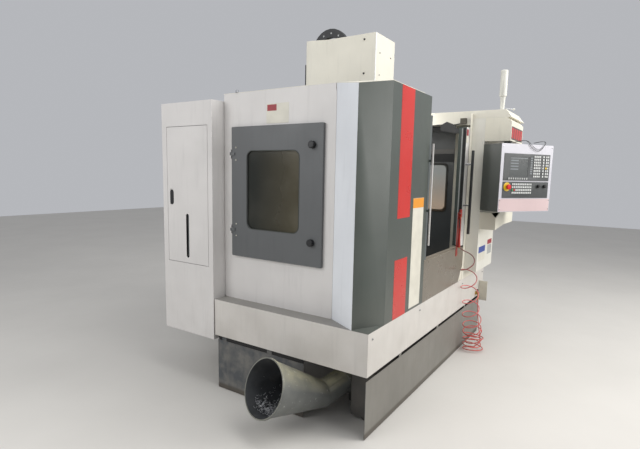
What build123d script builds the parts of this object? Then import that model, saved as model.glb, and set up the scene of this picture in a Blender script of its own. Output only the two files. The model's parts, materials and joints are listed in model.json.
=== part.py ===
from build123d import *
import os
from math import atan2, cos, radians, sin, tan

# A vertical milling machine in a sheet metal enclosure. Millimetres, +Z up, front towards -Y.
# The origin lies on the floor, midway between the four anchor bolts.

# Overall enclosure
WIDTH = 2400.0
HALF_W = WIDTH / 2
FRONT_Y = -1020.0
SHEET = 3.0
FIT = 0.3
BAND_TOP = 640.0
BAND_BOTTOM = 390.0
PANEL_TOP = 2010.0
SIDE_RECESS = 110.0
PANEL_LAP = 5.0
SIDE_X = HALF_W - SIDE_RECESS
BAND_DEPTH = 1175.0
REAR_WALL_DEPTH = 1185.0
REAR_WALL_Y = FRONT_Y + REAR_WALL_DEPTH
LEDGE_WIDTH = 120.0
PAN_FLOOR = 470.0
PAN_FRONT_DEPTH = 85.0
SEAT_BLOCK = 30.0

# Front corner covers, given as distances behind the front plane
BEVEL_DEPTH = 311.0
CORNER_DEPTH = 106.0
CORNER_RUN = 196.0
CORNER_DROP = 36.0
BEVEL_REAR_X = SIDE_X - PANEL_LAP
LEFT_COVER_EDGE = -416.0
RIGHT_COVER_EDGE = 480.0
COVER_LIP = 15.0
GUIDE_Z = 1898.0
GUIDE_REACH = 80.0
GUIDE_DROP = 28.0

# Sliding front doors
DOOR_WIDTH = 500.0
DOOR_FRONT = 6.0
DOOR_THICK = 64.0
TRACK_TOP = 930.0
DOOR_LIFT = 6.0
DOOR_BOTTOM = TRACK_TOP + DOOR_LIFT
DOOR_TOP = 1894.0
LEFT_DOOR_EDGE = -370.0
RIGHT_DOOR_EDGE = 400.0
DOOR_WINDOW_SIDE = 85.0
DOOR_WINDOW_LOW = 150.0
DOOR_WINDOW_HIGH = 110.0
WINDOW_RADIUS = 45.0
PANE_THICK = 8.0
PANE_LAP = 18.0
HANDLE_LOW = 1040.0
HANDLE_HIGH = 1710.0
HANDLE_BAR = 20.0
LEFT_HANDLE_IN = 37.0
RIGHT_HANDLE_IN = 15.0
LEFT_HANDLE_STANDOFF = 24.0
RIGHT_HANDLE_STANDOFF = 46.0
HANDLE_FIX_ZS = (1272.0, 1600.0)
HANDLE_FIX_R = 8.0
HANDLE_EDGE_R = 4.0
TRACK_FRONT = 25.0
TRACK_DEPTH = 30.0
TRACK_HEIGHT = 24.0
TRACK_LEFT = -925.0
TRACK_RIGHT = 955.0
SHOE_LENGTH = 60.0
SHOE_INSET = 50.0

# Apron under the door opening
SILL_DROP = 6.0
APRON_TOP = TRACK_TOP - SILL_DROP
APRON_RIGHT = 476.0
APRON_CHAMFER_X = 96.0
APRON_CHAMFER_Z = 125.0

# Hinged side window panel
HATCH_FRONT = 377.0
HATCH_REAR = 1099.0
HATCH_LOW = 943.0
HATCH_HIGH = 1794.0
HATCH_THICK = 20.0
HATCH_LAP = 43.0
HATCH_GAP = 0.5
SIDE_WINDOW_FRONT = 545.0
SIDE_WINDOW_REAR = 966.0
SIDE_WINDOW_LOW = 1135.0
SIDE_WINDOW_HIGH = 1640.0
RIGHT_WINDOW_FRONT = 383.0
RIGHT_WINDOW_REAR = 760.0
RIGHT_WINDOW_LOW = 1176.0
RIGHT_WINDOW_HIGH = 1612.0
HINGE_R = 5.0
HINGE_PIN_R = 2.0
HINGE_BORE_R = 2.05
HINGE_OUT = 5.0
HINGE_BACK = 6.0
HINGE_TAIL = 36.0
HINGE_HEIGHT = 60.0
HINGE_ZS = (1120.0, 1620.0)
KNOB_R = 22.0
KNOB_HEIGHT = 26.0
KNOB_STEM_R = 6.0
KNOB_BORE_R = 6.05
KNOB_CHAMFER = 4.4
KNOB_FLUTES = 8
KNOB_FLUTE_R = 4.4
KNOB_FLUTE_OUT = 24.2
KNOB_COLLAR = 9.0
KNOB_DEPTH = 449.0
KNOB_ZS = (1090.0, 1669.0)

# Roof
ROOF_EDGE_X = 540.0
ROOF_RIM_WIDTH = 20.0
ROOF_RIM_LOW = 1925.0
ROOF_RIM_TOP = 2035.0
LEFT_RIM_FRONT = 110.0
CAP_FRONT = -250.0
CAP_BEVEL = 48.0
CAP_LOW = 1972.0
CAP_RIGHT_X = 1050.0

# Base
BASE_PANEL_TOP = 350.0
BASE_PANEL_LOW = 4.0
BASE_PANEL_INSET = 28.0
BASE_FRONT_DEPTH = 18.0
BASE_SIDE_FRONT = 447.0
HANGER_WIDTH = 40.0
HANGER_THICK = 12.0
HANGER_XS = (-700.0, 0.0, 700.0)
HANGER_DEPTHS = (700.0, 1100.0)

# Machine bed and feet
FOOT_SPACING_X = 680.0
FOOT_SPACING_Y = 1100.0
FOOT_R = 55.0
FOOT_PAD_HEIGHT = 22.0
FOOT_PAD_TOP_R = 44.0
FOOT_BOLT_R = 12.0
FOOT_HOLE_R = 13.0
ANCHOR_SPACING_X = 640.0
ANCHOR_SPACING_Y = 760.0
ANCHOR_R = 10.0
ANCHOR_SLEEVE_R = 22.0
FOOT_NUT_R = 20.0
FOOT_NUT_HEIGHT = 19.0
NUT_CLEAR_R = 25.0
BED_LOW = 60.0
BED_TOP = 560.0
BED_HALF_W = 400.0
BED_FRONT_Y = -610.0
BED_REAR_Y = 640.0
BED_WALL = 40.0
BED_POCKET_COLUMNS = 3
BED_POCKET_ROWS = 4
BEARING_DROP = 4.0
RAIL_W = 35.0
RAIL_H = 40.0
RAIL_CLEAR = 0.3
Y_RAIL_X = 260.0
Y_RAIL_FRONT = -605.0
Y_RAIL_REAR = 150.0
CARRIAGE_HALF = 38.0
CARRIAGE_SIDE = 18.0
CARRIAGE_UP = 16.0

# Column
COLUMN_HALF_W = 250.0
COLUMN_FRONT_Y = 220.0
COLUMN_REAR_Y = 560.0
COLUMN_TOP = 2200.0
COLUMN_WALL = 30.0
COLUMN_WINDOW_HALF_W = 132.0
COLUMN_WINDOW_HEIGHT = 360.0
COLUMN_WINDOW_LOWS = (740.0, 1220.0, 1700.0)
SCREW_LUG_HALF_W = 45.5
MOTOR_PLATE = 15.0
Z_RAIL_X = 170.0
Z_RAIL_LOW = 1070.0
Z_RAIL_HIGH = 2150.0

# Feed screws
SCREW_R = 16.0
SCREW_FIT = 0.3
SCREW_PASS = 4.0
BEARING_FIT = 0.05

# Saddle and table, centred under the spindle at rest
SPINDLE_Y = -260.0
SADDLE_LOW = 640.0
SADDLE_TOP = 760.0
SADDLE_HALF_X = 510.0
SADDLE_HALF_Y = 175.0
SADDLE_CHAMFER = 60.0
NUT_CLEAR = 5.0
CARRIAGE_OFFSET_Y = 105.0
X_RAIL_Y = 120.0
TABLE_LOW = 842.0
TABLE_TOP = 930.0
TABLE_HALF_X = 450.0
TABLE_HALF_Y = 200.0
CARRIAGE_OFFSET_X = 160.0
T_SLOT_W = 14.0
T_SLOT_DEEP = 26.0
T_SLOT_FOOT_W = 26.0
T_SLOT_FOOT_H = 11.0
T_SLOT_PITCH = 100.0
Y_SCREW_Z = 605.0
X_SCREW_Z = 745.0
SCREW_END = 2.0
NUT_HALF = 30.0
MOTOR_HALF = 65.0
MOTOR_LENGTH = 150.0
Z_MOTOR_LENGTH = 195.0
MOTOR_CHAMFER = 13.0
MOTOR_BORE_CLEAR = 1.0

# Head and spindle
HEAD_PLATE_FRONT = 100.0
HEAD_PLATE_REAR = 150.0
HEAD_PLATE_HALF_W = 215.0
HEAD_LOW = 1600.0
HEAD_TOP = 1900.0
HEAD_PLATE_TOP = 2080.0
HEAD_HALF_W = 130.0
HEAD_FRONT_Y = -390.0
HEAD_NECK_FRONT = -75.0
HEAD_NECK_HALF_W = 98.0
HEAD_EDGE_R = 25.0
HEAD_PLATE_DROP = 10.0
NOSE_FLANGE = 26.0
NOSE_FLANGE_DROP = 20.0
NOSE_GAP = 2.0
Z_CARRIAGE_ZS = (1665.0, 2000.0)
Z_SCREW_Y = 185.0
SPINDLE_R = 50.0
SPINDLE_NOSE_R = 64.0
SPINDLE_NOSE = 1550.0
SPINDLE_TOP = 1895.0
TAPER_R = 22.2
TAPER_DEEP = 65.0
TAPER_RATIO = 7 / 48
DRIVE_KEY_HALF_W = 8.0
DRIVE_KEY_INSET = 6.0
DRIVE_KEY_OUT = 8.0
SPINDLE_MOTOR_HALF = 110.0
SPINDLE_MOTOR_TOP = 2330.0
SPINDLE_MOTOR_CHAMFER = 24.0
FIN_GROOVES = 8
FIN_PITCH = 34.0
FIN_GROOVE = 10.0
FIN_DEEP = 6.0
FIN_START = 90.0
COVER_HALF_W = 165.0
COVER_FRONT_DEPTH = 550.0
COVER_REAR_DEPTH = 1112.0
COVER_LOW = 1620.0
COVER_TOP = 2550.0
COVER_ROOF_REAR = -215.0
COVER_FLARE_LOW = 2100.0
COVER_FLARE_DEPTH = 965.0
COVER_WIDE_DEPTH = 1095.0
COVER_WIDE_REAR = 1150.0
COVER_WIDE_HALF_W = 205.0
STANDOFF = 40.0

# Drag chain
CHAIN_X = -100.0
CHAIN_WIDTH = 40.0
CHAIN_Y = -37.0
CHAIN_Z = 2483.0
CHAIN_OUTER_R = 163.0
CHAIN_INNER_R = 100.0
CHAIN_WALL = 5.0
CHAIN_LINKS_ROUND = 12
CHAIN_LINK_GAP = 0.4
CHAIN_FRONT_LOW = 2335.0
CHAIN_REAR_LOW = 2215.0
CHAIN_LINK = 42.0

# Chip conveyor screw, trough and spout
TROUGH_DEPTH = 305.0
TROUGH_Z = 200.0
TROUGH_R = 83.0
TROUGH_LEFT = -880.0
TROUGH_RIGHT = 900.0
AUGER_R = 72.0
AUGER_SHAFT_R = 16.0
AUGER_PITCH = 120.0
AUGER_FLIGHT = 4.0
GEARMOTOR_LENGTH = 150.0
GEARMOTOR_HALF = 60.0
GEARMOTOR_CHAMFER = 15.0
PIPE_R = 80.0
PIPE_WALL = 4.0
ELBOW_X = -1094.0
ELBOW_DEPTH = 363.0
ELBOW_Z = 150.0
MOUTH_X = -1510.0
MOUTH_DEPTH = 480.0
MOUTH_Z = 318.0
MOUTH_R = 165.0
RIM_WIDTH = 6.0
SPOUT_CLEAR = 5.0

# Coolant tank
TANK_HALF_X = 1000.0
TANK_FRONT = 35.0
TANK_REAR = 212.0
TANK_LOW = 30.0
TANK_TOP = 330.0
TANK_MOUTH_HALF_X = 400.0
TANK_MOUTH_FRONT = 75.0
TANK_MOUTH_REAR = 175.0

# Cabinets
SERVICE_RIGHT_X = -750.0
SERVICE_FRONT = 1188.5
SERVICE_REAR = 1690.0
SERVICE_LOW = 352.0
SERVICE_TOP = 1965.0
SERVICE_DOOR_FRONT = 1231.0
SERVICE_DOOR_REAR = 1643.0
SERVICE_DOOR_LOW = 857.0
SERVICE_DOOR_HIGH = 1806.0
ELECTRIC_LEFT_X = -560.0
ELECTRIC_RIGHT_X = 900.0
ELECTRIC_FRONT = 1692.0
ELECTRIC_REAR = 2060.0
ELECTRIC_DOOR_LEFT_X = -500.0
ELECTRIC_DOOR_RIGHT_X = 300.0
ELECTRIC_DOOR_LOW = 500.0
ELECTRIC_DOOR_HIGH = 1900.0
LEAF_THICK = 18.0
LEAF_GAP = 3.0
LEAF_PIN_R = 4.0
LEAF_PIN_IN = 6.0
LEAF_PIN_BACK = 8.0
LEAF_PIN_LENGTH = 9.0
LEAF_LUG = 12.0
MAINS_BORE_R = 12.5
GLAND_R = 22.0
GLAND_OUT = 24.0
VENT_ROWS = 12
VENT_HALF_W = 90.0
VENT_SLOT = 8.0
VENT_PITCH = 20.0
SERVICE_SLOT_X = 207.0
SERVICE_SLOT_Z = 195.0
SERVICE_SLOT_LENGTH = 310.0
SERVICE_SLOT_W = 30.0
LATCH_IN = 42.0
LATCH_LOW = 408.0
LATCH_HEIGHT = 110.0
LATCH_HALF_W = 14.0
SWITCH_IN = 70.0
SWITCH_LOW = 770.0
SWITCH_PLATE = 90.0
SWITCH_R = 24.0
SWITCH_OUT = 22.0
SWITCH_GRIP = 16.0
PULL_LOW = 490.0
PULL_LENGTH = 120.0
PULL_OUT = 22.0
PULL_THICK = 8.0

# Operator pendant, its pillar, arm and bracket
PILLAR_LEFT_X = 540.0
PILLAR_RIGHT_X = 1050.0
PILLAR_FRONT = -100.0
PILLAR_LOW = 710.0
ARM_RIGHT_X = 1000.0
ARM_FRONT = -300.0
ARM_LOW = 1790.0
ARM_CHAMFER = 32.0
BRACKET_FRONT = -229.0
BRACKET_LOW = 1075.0
BRACKET_TOP = 1215.0
BRACKET_RIGHT_X = 1190.0
BRACKET_KNEE_X = 840.0
BRACKET_RISE = 25.0
BRACKET_NOTCH_DROP = 43.0
BRACKET_NOTCH_SIDE = 37.0
BRACKET_NOTCH_FRONT = 150.0
PIVOT_X = 660.0
PIVOT_DEPTH = -255.0
PIVOT_R = 18.0
PIVOT_COLLAR_R = 30.0
PENDANT_TURN = 33.0
PENDANT_WIDTH = 542.0
PENDANT_THICK = 200.0
PENDANT_LOW = 1236.0
PENDANT_TOP = 1762.0
PENDANT_LEFT = -234.0
PENDANT_REAR = -20.0
FACE_THICK = 4.0
PENDANT_REAR_EDGE_R = 10.0
FACE_CORNER_R = 8.0
UNIT_MARGIN = 30.0
UNIT_LOW = 1480.0
UNIT_HIGH = 1688.0
UNIT_THICK = 3.0
PANEL_LOW = 1345.0
PANEL_HIGH = 1471.0
SCREEN_LEFT = 58.0
SCREEN_WIDTH = 190.0
SCREEN_LOW = 1513.0
SCREEN_HEIGHT = 150.0
KEY = 15.0
KEY_PITCH = 19.0
KEY_DROP = 22.0
KEY_THICK = 2.5
KEY_COLUMNS = 5
KEY_ROWS = 8
KEY_GROUP = 2
KEY_GROUP_GAP = 12.0
KEY_EDGE = 12.0
SOFT_KEYS = 9
SOFT_KEY_PITCH = 23.0
SOFT_KEY_IN = 48.0
SOFT_KEY_UP = 8.0
PANEL_KEY_COLUMNS = 8
PANEL_KEY_ROWS = 4
PANEL_KEY_IN = 92.0
STOP_R = 20.0
STOP_OUT = 28.0
STOP_STEM_R = 8.0
STOP_CAP = 14.0
STOP_EDGE_R = 5.0
STOP_STEM_IN = 40.0
STOP_IN = 42.0
STOP_DROP = 40.0
OVERRIDE_R = 13.0
OVERRIDE_OUT = 18.0
OVERRIDE_STEM_R = 3.0
OVERRIDE_STEM_IN = 14.0
OVERRIDE_MARK = 3.0
OVERRIDE_IN = (112.0, 46.0)
OVERRIDE_DROP = 34.0

# Signal tower on the roof cap
TOWER_X = 605.0
TOWER_DEPTH = -205.0
TOWER_BASE_R = 20.0
TOWER_BASE_HEIGHT = 8.0
TOWER_FOOT_R = 15.0
TOWER_NECK_R = 21.0
TOWER_R = 28.0
TOWER_EDGE_R = 6.0
TOWER_STEM_TOP = 2144.0
TOWER_TOP = 2345.0

# Air gun in its holder on the apron, and its recoil hose
GUN_X = 290.0
GUN_DEPTH = -18.0
GUN_LOW = 944.0
GUN_TOP = 1244.0
GUN_R = 11.0
GUN_NECK_R = 7.0
GUN_FOOT_R = 13.0
GUN_HEAD = 60.0
GUN_GRIP = 110.0
HOLDER_HALF_W = 20.0
HOLDER_LOW = 870.0
HOLDER_TOP = 1220.0
HOOK_THICK = 8.0
LEVER_OUT = 19.0
LEVER_HALF = 3.0
LEVER_LOW = 1095.0
LEVER_TOP = 1180.0
LEVER_PIN_Z = 1176.0
LEVER_PIN_R = 2.0
HOSE_R = 4.0
COIL_TOP_R = 56.0
COIL_FOOT_R = 90.0
COIL_TOP = (292.0, -82.0, 936.0)
COIL_FOOT = (625.0, -88.0, 166.0)
HEAP_R = 98.0
HEAP_HEIGHT = 165.0
COUPLER_X = 955.0
COUPLER_Z = 430.0
COUPLER_R = 11.0
COUPLER_FLANGE_R = 17.0
COUPLER_OUT = 34.0
COUPLER_DROP = 58.0
TAIL_ROUTE = [(723.6, -88.0, 8.0), (800.0, -100.0, 6.0), (872.0, -92.0, 24.0), (920.0, -66.0, 84.0),
              (944.0, -46.0, 170.0), (953.0, -32.0, 268.0), (955.0, -26.0, 371.5)]


def back(depth):
    return FRONT_Y + depth


def block(x0, x1, y0, y1, z0, z1):
    centre = Pos((x0 + x1) / 2, (y0 + y1) / 2, (z0 + z1) / 2)
    return centre * Box(abs(x1 - x0), abs(y1 - y0), abs(z1 - z0))


def rod_z(x, y, z0, z1, r):
    return Pos(x, y, (z0 + z1) / 2) * Cylinder(r, z1 - z0)


def rod_x(x0, x1, y, z, r):
    return Pos((x0 + x1) / 2, y, z) * Rot(0, 90, 0) * Cylinder(r, x1 - x0)


def rod_y(x, y0, y1, z, r):
    return Pos(x, (y0 + y1) / 2, z) * Rot(90, 0, 0) * Cylinder(r, y1 - y0)


def cone_z(x, y, z0, z1, r0, r1):
    return Pos(x, y, (z0 + z1) / 2) * Cone(r0, r1, z1 - z0)


def prism(points, z0, z1):
    return Pos(0, 0, z0) * extrude(make_face(Polyline(*points, close=True)), z1 - z0)


def slope_face(corners, spread):
    corners = [Vector(*corner) for corner in corners]
    middle = (corners[0] + corners[1] + corners[2]) * (1 / 3)
    spaced = [corner + (corner - middle) * spread for corner in corners]
    return make_face(Polyline(*spaced, close=True))


def rounded_x(x0, x1, y0, y1, z0, z1, r):
    plan = Rot(0, 90, 0) * RectangleRounded(z1 - z0, y1 - y0, r)
    return Pos(x0, (y0 + y1) / 2, (z0 + z1) / 2) * extrude(plan, x1 - x0, dir=(1, 0, 0))


def rounded_y(x0, x1, y0, y1, z0, z1, r):
    plan = Rot(90, 0, 0) * RectangleRounded(x1 - x0, z1 - z0, r)
    return Pos((x0 + x1) / 2, y0, (z0 + z1) / 2) * extrude(plan, y1 - y0, dir=(0, 1, 0))


# Machine bed, column and feet

def foot_places():
    xs = (-FOOT_SPACING_X / 2, FOOT_SPACING_X / 2)
    ys = (-FOOT_SPACING_Y / 2, 0.0, FOOT_SPACING_Y / 2)
    return [(x, y) for x in xs for y in ys]


def make_base_casting():
    bed = block(-BED_HALF_W, BED_HALF_W, BED_FRONT_Y, BED_REAR_Y, BED_LOW, BED_TOP)
    cell_x = (2 * BED_HALF_W - BED_WALL) / BED_POCKET_COLUMNS - BED_WALL
    cell_y = (BED_REAR_Y - BED_FRONT_Y - BED_WALL) / BED_POCKET_ROWS - BED_WALL
    pad = FOOT_R + BED_WALL
    for i in range(BED_POCKET_COLUMNS):
        for j in range(BED_POCKET_ROWS):
            x0 = -BED_HALF_W + BED_WALL + i * (cell_x + BED_WALL)
            y0 = BED_FRONT_Y + BED_WALL + j * (cell_y + BED_WALL)
            bed -= block(x0, x0 + cell_x, y0, y0 + cell_y, BED_LOW, BED_TOP - 2 * BED_WALL)
    for x, y in foot_places():
        near = BED_HALF_W * (1 if x > 0 else -1)
        y0 = max(y - pad, BED_FRONT_Y)
        y1 = min(y + pad, BED_REAR_Y)
        bed += block(x - pad * (1 if x > 0 else -1), near, y0, y1, BED_LOW, BED_LOW + 2 * BED_WALL)
    for x, y in foot_places():
        bed -= rod_z(x, y, BED_LOW, BED_LOW + 2 * BED_WALL, FOOT_HOLE_R)
        bed -= rod_z(x, y, BED_LOW + 2 * BED_WALL, BED_LOW + 4 * BED_WALL, NUT_CLEAR_R)
    for x in (-ANCHOR_SPACING_X / 2, ANCHOR_SPACING_X / 2):
        for y in (-ANCHOR_SPACING_Y / 2, ANCHOR_SPACING_Y / 2):
            bed += block(x - BED_WALL, x + BED_WALL, y - BED_WALL, y + BED_WALL, BED_LOW,
                         BED_LOW + BED_WALL)
            bed += rod_z(x, y, 0, BED_LOW + 1, ANCHOR_SLEEVE_R)
            bed -= rod_z(x, y, -1, BED_LOW + BED_WALL + 1, ANCHOR_R)
    front_lug = block(-MOTOR_HALF, MOTOR_HALF, BED_FRONT_Y - SEAT_BLOCK, BED_FRONT_Y,
                      BED_TOP - 2 * BED_WALL, SADDLE_LOW - BEARING_DROP)
    bearing = block(-MOTOR_HALF, MOTOR_HALF, BED_FRONT_Y, BED_FRONT_Y + SEAT_BLOCK,
                    BED_TOP, SADDLE_LOW - BEARING_DROP)
    rear_bearing = block(-MOTOR_HALF, MOTOR_HALF, Y_RAIL_REAR, Y_RAIL_REAR + SEAT_BLOCK,
                         BED_TOP, SADDLE_LOW - BEARING_DROP)
    bed += front_lug + bearing + rear_bearing
    bed -= rod_y(0, BED_FRONT_Y - SEAT_BLOCK, Y_RAIL_REAR + SEAT_BLOCK, Y_SCREW_Z,
                 SCREW_R + BEARING_FIT)
    return bed


def make_levelling_feet():
    feet = []
    for x, y in foot_places():
        pad = cone_z(x, y, 0, FOOT_PAD_HEIGHT, FOOT_R, FOOT_PAD_TOP_R)
        stem = rod_z(x, y, FOOT_PAD_HEIGHT, BED_LOW + 3 * BED_WALL, FOOT_BOLT_R)
        nut = extrude(RegularPolygon(FOOT_NUT_R, 6), FOOT_NUT_HEIGHT)
        under = Pos(x, y, BED_LOW - FOOT_NUT_HEIGHT) * nut
        over = Pos(x, y, BED_LOW + 2 * BED_WALL) * nut
        feet.append(pad + stem + under + over)
    return feet


def make_column_casting():
    column = block(-COLUMN_HALF_W, COLUMN_HALF_W, COLUMN_FRONT_Y, COLUMN_REAR_Y,
                   BED_TOP, COLUMN_TOP)
    inner = COLUMN_HALF_W - COLUMN_WALL
    column -= block(-inner, inner, COLUMN_FRONT_Y + COLUMN_WALL, COLUMN_REAR_Y - COLUMN_WALL,
                    BED_TOP + COLUMN_WALL, COLUMN_TOP - COLUMN_WALL)
    for low in COLUMN_WINDOW_LOWS:
        column -= rounded_y(-COLUMN_WINDOW_HALF_W, COLUMN_WINDOW_HALF_W, COLUMN_REAR_Y - COLUMN_WALL - 1,
                            COLUMN_REAR_Y + 1, low, low + COLUMN_WINDOW_HEIGHT, COLUMN_WALL)
    for low in (Z_RAIL_LOW + COLUMN_WALL, Z_RAIL_HIGH):
        lug = block(-SCREW_LUG_HALF_W, SCREW_LUG_HALF_W, HEAD_PLATE_REAR + SHEET, COLUMN_FRONT_Y,
                    low, low + COLUMN_WALL)
        column += lug - rod_z(0, Z_SCREW_Y, low, low + COLUMN_WALL, SCREW_R + BEARING_FIT)
    column += block(-MOTOR_HALF, MOTOR_HALF, Z_SCREW_Y - MOTOR_HALF, COLUMN_REAR_Y,
                    COLUMN_TOP, COLUMN_TOP + MOTOR_PLATE)
    column -= rod_z(0, Z_SCREW_Y, COLUMN_TOP - COLUMN_WALL, COLUMN_TOP + COLUMN_WALL,
                    SCREW_R + SCREW_PASS)
    return column


def make_guide_rails():
    rails = []
    half = RAIL_W / 2
    for side in (-1, 1):
        x = side * Y_RAIL_X
        rails.append(block(x - half, x + half, Y_RAIL_FRONT, Y_RAIL_REAR, BED_TOP, BED_TOP + RAIL_H))
        x = side * Z_RAIL_X
        rails.append(block(x - half, x + half, COLUMN_FRONT_Y - RAIL_H, COLUMN_FRONT_Y,
                           Z_RAIL_LOW, Z_RAIL_HIGH))
    return rails


def make_servo_motors():
    y1 = BED_FRONT_Y - SEAT_BLOCK - FIT
    front = block(-MOTOR_HALF, MOTOR_HALF, y1 - MOTOR_LENGTH, y1,
                  Y_SCREW_Z - MOTOR_HALF, Y_SCREW_Z + MOTOR_HALF)
    front = chamfer(front.edges().filter_by(Axis.Y), MOTOR_CHAMFER)
    front -= rod_y(0, y1 - SEAT_BLOCK, y1, Y_SCREW_Z, SCREW_R + MOTOR_BORE_CLEAR)
    low = COLUMN_TOP + MOTOR_PLATE
    top = block(-MOTOR_HALF, MOTOR_HALF, Z_SCREW_Y - MOTOR_HALF, Z_SCREW_Y + MOTOR_HALF,
                low, low + Z_MOTOR_LENGTH)
    top = chamfer(top.edges().filter_by(Axis.Z), MOTOR_CHAMFER)
    top -= rod_z(0, Z_SCREW_Y, low, low + SEAT_BLOCK, SCREW_R + MOTOR_BORE_CLEAR)
    return [front, top]


# Lower enclosure, base panels and chip system

def make_lower_enclosure():
    rear = back(BAND_DEPTH)
    shell = block(-HALF_W, HALF_W, FRONT_Y, rear, BAND_BOTTOM, BAND_TOP)
    shell -= block(-HALF_W + SHEET, HALF_W - SHEET, FRONT_Y + SHEET, rear - SHEET,
                   BAND_BOTTOM - 1, BAND_TOP - SHEET)
    pan_x = HALF_W - LEDGE_WIDTH
    pan_y0 = back(PAN_FRONT_DEPTH)
    pan_y1 = rear - 2 * SHEET
    tub = block(-pan_x, pan_x, pan_y0, pan_y1, PAN_FLOOR - SHEET, BAND_TOP)
    shell = shell + tub
    shell -= block(-pan_x + SHEET, pan_x - SHEET, pan_y0 + SHEET, pan_y1 - SHEET,
                   PAN_FLOOR, BAND_TOP + 1)
    slot = BED_HALF_W + 2 * SHEET
    shell -= block(-slot, slot, BED_FRONT_Y - 2 * SHEET, rear + 1, BAND_BOTTOM - 1, BAND_TOP - SHEET)
    shell -= block(-slot, slot, pan_y1 - 2 * SHEET, rear + 1, BAND_BOTTOM - 1, BAND_TOP + 1)
    chute = TROUGH_R - 2 * SHEET
    shell -= block(TROUGH_LEFT + 2 * SHEET, TROUGH_RIGHT - 2 * SHEET, back(TROUGH_DEPTH) - chute,
                   back(TROUGH_DEPTH) + chute, PAN_FLOOR - 2 * SHEET, PAN_FLOOR + 1)
    for side in (-1, 1):
        for y in (BED_FRONT_Y + 4 * BED_WALL, 0.0):
            x0 = side * (BED_HALF_W + FIT)
            x1 = side * (BED_HALF_W + BED_WALL)
            shell += block(x0, x1, y, y + BED_WALL, PAN_FLOOR - BED_WALL, PAN_FLOOR - SHEET)
    return shell


def spout_solid(extra):
    y0 = back(TROUGH_DEPTH)
    y1 = back(ELBOW_DEPTH)
    y2 = back(MOUTH_DEPTH)
    start = Vector(TROUGH_LEFT, y0, TROUGH_Z)
    elbow = Vector(ELBOW_X, y1, ELBOW_Z)
    mouth = Vector(MOUTH_X, y2, MOUTH_Z)
    first = Plane(origin=start, z_dir=elbow - start) * extrude(Circle(PIPE_R + extra),
                                                                (elbow - start).length)
    ball = Pos(elbow) * Sphere(PIPE_R + extra)
    length = (mouth - elbow).length
    funnel = Plane(origin=elbow, z_dir=mouth - elbow) * Pos(0, 0, length / 2) * Cone(
        PIPE_R + extra, MOUTH_R + extra, length)
    return first + ball + funnel


def make_chip_spout():
    elbow = Vector(ELBOW_X, back(ELBOW_DEPTH), ELBOW_Z)
    mouth = Vector(MOUTH_X, back(MOUTH_DEPTH), MOUTH_Z)
    start = Vector(TROUGH_LEFT, back(TROUGH_DEPTH), TROUGH_Z)
    spout = spout_solid(0.0) - spout_solid(-PIPE_WALL)
    tip = Plane(origin=mouth, z_dir=mouth - elbow)
    rim = Pos(0, 0, -RIM_WIDTH) * (Cylinder(MOUTH_R + RIM_WIDTH / 2, 2 * RIM_WIDTH)
                                  - Cylinder(MOUTH_R - PIPE_WALL, 2 * RIM_WIDTH))
    spout += tip * rim
    coupling = Plane(origin=start, z_dir=elbow - start)
    ring = Pos(0, 0, 4 * RIM_WIDTH) * (Cylinder(PIPE_R + RIM_WIDTH, 8 * RIM_WIDTH)
                                      - Cylinder(PIPE_R - PIPE_WALL, 8 * RIM_WIDTH))
    spout += coupling * ring
    return spout - block(TROUGH_LEFT - FIT, TROUGH_LEFT + PIPE_R, back(0), back(2 * TROUGH_DEPTH),
                         0, PAN_FLOOR)


def make_auger_trough():
    y = back(TROUGH_DEPTH)
    top = PAN_FLOOR - SHEET - FIT
    outer = rod_x(TROUGH_LEFT, TROUGH_RIGHT, y, TROUGH_Z, TROUGH_R)
    outer += block(TROUGH_LEFT, TROUGH_RIGHT, y - TROUGH_R, y + TROUGH_R, TROUGH_Z, top)
    inner_r = TROUGH_R - SHEET
    inner = rod_x(TROUGH_LEFT + SHEET, TROUGH_RIGHT - SHEET, y, TROUGH_Z, inner_r)
    inner += block(TROUGH_LEFT + SHEET, TROUGH_RIGHT - SHEET, y - inner_r, y + inner_r,
                   TROUGH_Z, top + 1)
    trough = outer - inner
    trough -= rod_x(TROUGH_LEFT - 1, TROUGH_LEFT + 2 * SHEET, y, TROUGH_Z, PIPE_R - PIPE_WALL)
    half = GEARMOTOR_HALF
    motor = block(TROUGH_RIGHT, TROUGH_RIGHT + GEARMOTOR_LENGTH, y - half, y + half,
                  TROUGH_Z - half, TROUGH_Z + half)
    trough += chamfer(motor.edges().filter_by(Axis.X), GEARMOTOR_CHAMFER)
    trough -= rod_x(TROUGH_RIGHT - 2 * SHEET, TROUGH_RIGHT + GEARMOTOR_LENGTH / 2, y, TROUGH_Z,
                    AUGER_SHAFT_R + BEARING_FIT)
    for x in (TROUGH_LEFT + 2 * BED_WALL, TROUGH_RIGHT - 3 * BED_WALL):
        trough += block(x, x + BED_WALL, y - SEAT_BLOCK, y + SEAT_BLOCK, 0, TROUGH_Z - inner_r - 1)
    return trough


def make_auger():
    y = back(TROUGH_DEPTH)
    x0 = TROUGH_LEFT + BED_WALL
    x1 = TROUGH_RIGHT - BED_WALL
    shaft = rod_x(x0, TROUGH_RIGHT + GEARMOTOR_LENGTH / 2 - 1, y, TROUGH_Z, AUGER_SHAFT_R)
    turns = int((x1 - x0 - AUGER_FLIGHT) / AUGER_PITCH)
    height = turns * AUGER_PITCH
    path = Helix(AUGER_PITCH, height, AUGER_SHAFT_R)
    start = path @ 0
    section = Plane(origin=start, x_dir=(1, 0, 0), z_dir=(0, 1, 0)) * Pos(
        (AUGER_R - AUGER_SHAFT_R) / 2 - 1, 0) * Rectangle(AUGER_R - AUGER_SHAFT_R + 2, AUGER_FLIGHT)
    flight = sweep(section, path=path, is_frenet=True)
    return shaft + Pos(x0 + AUGER_FLIGHT, y, TROUGH_Z) * Rot(0, 90, 0) * flight


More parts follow.
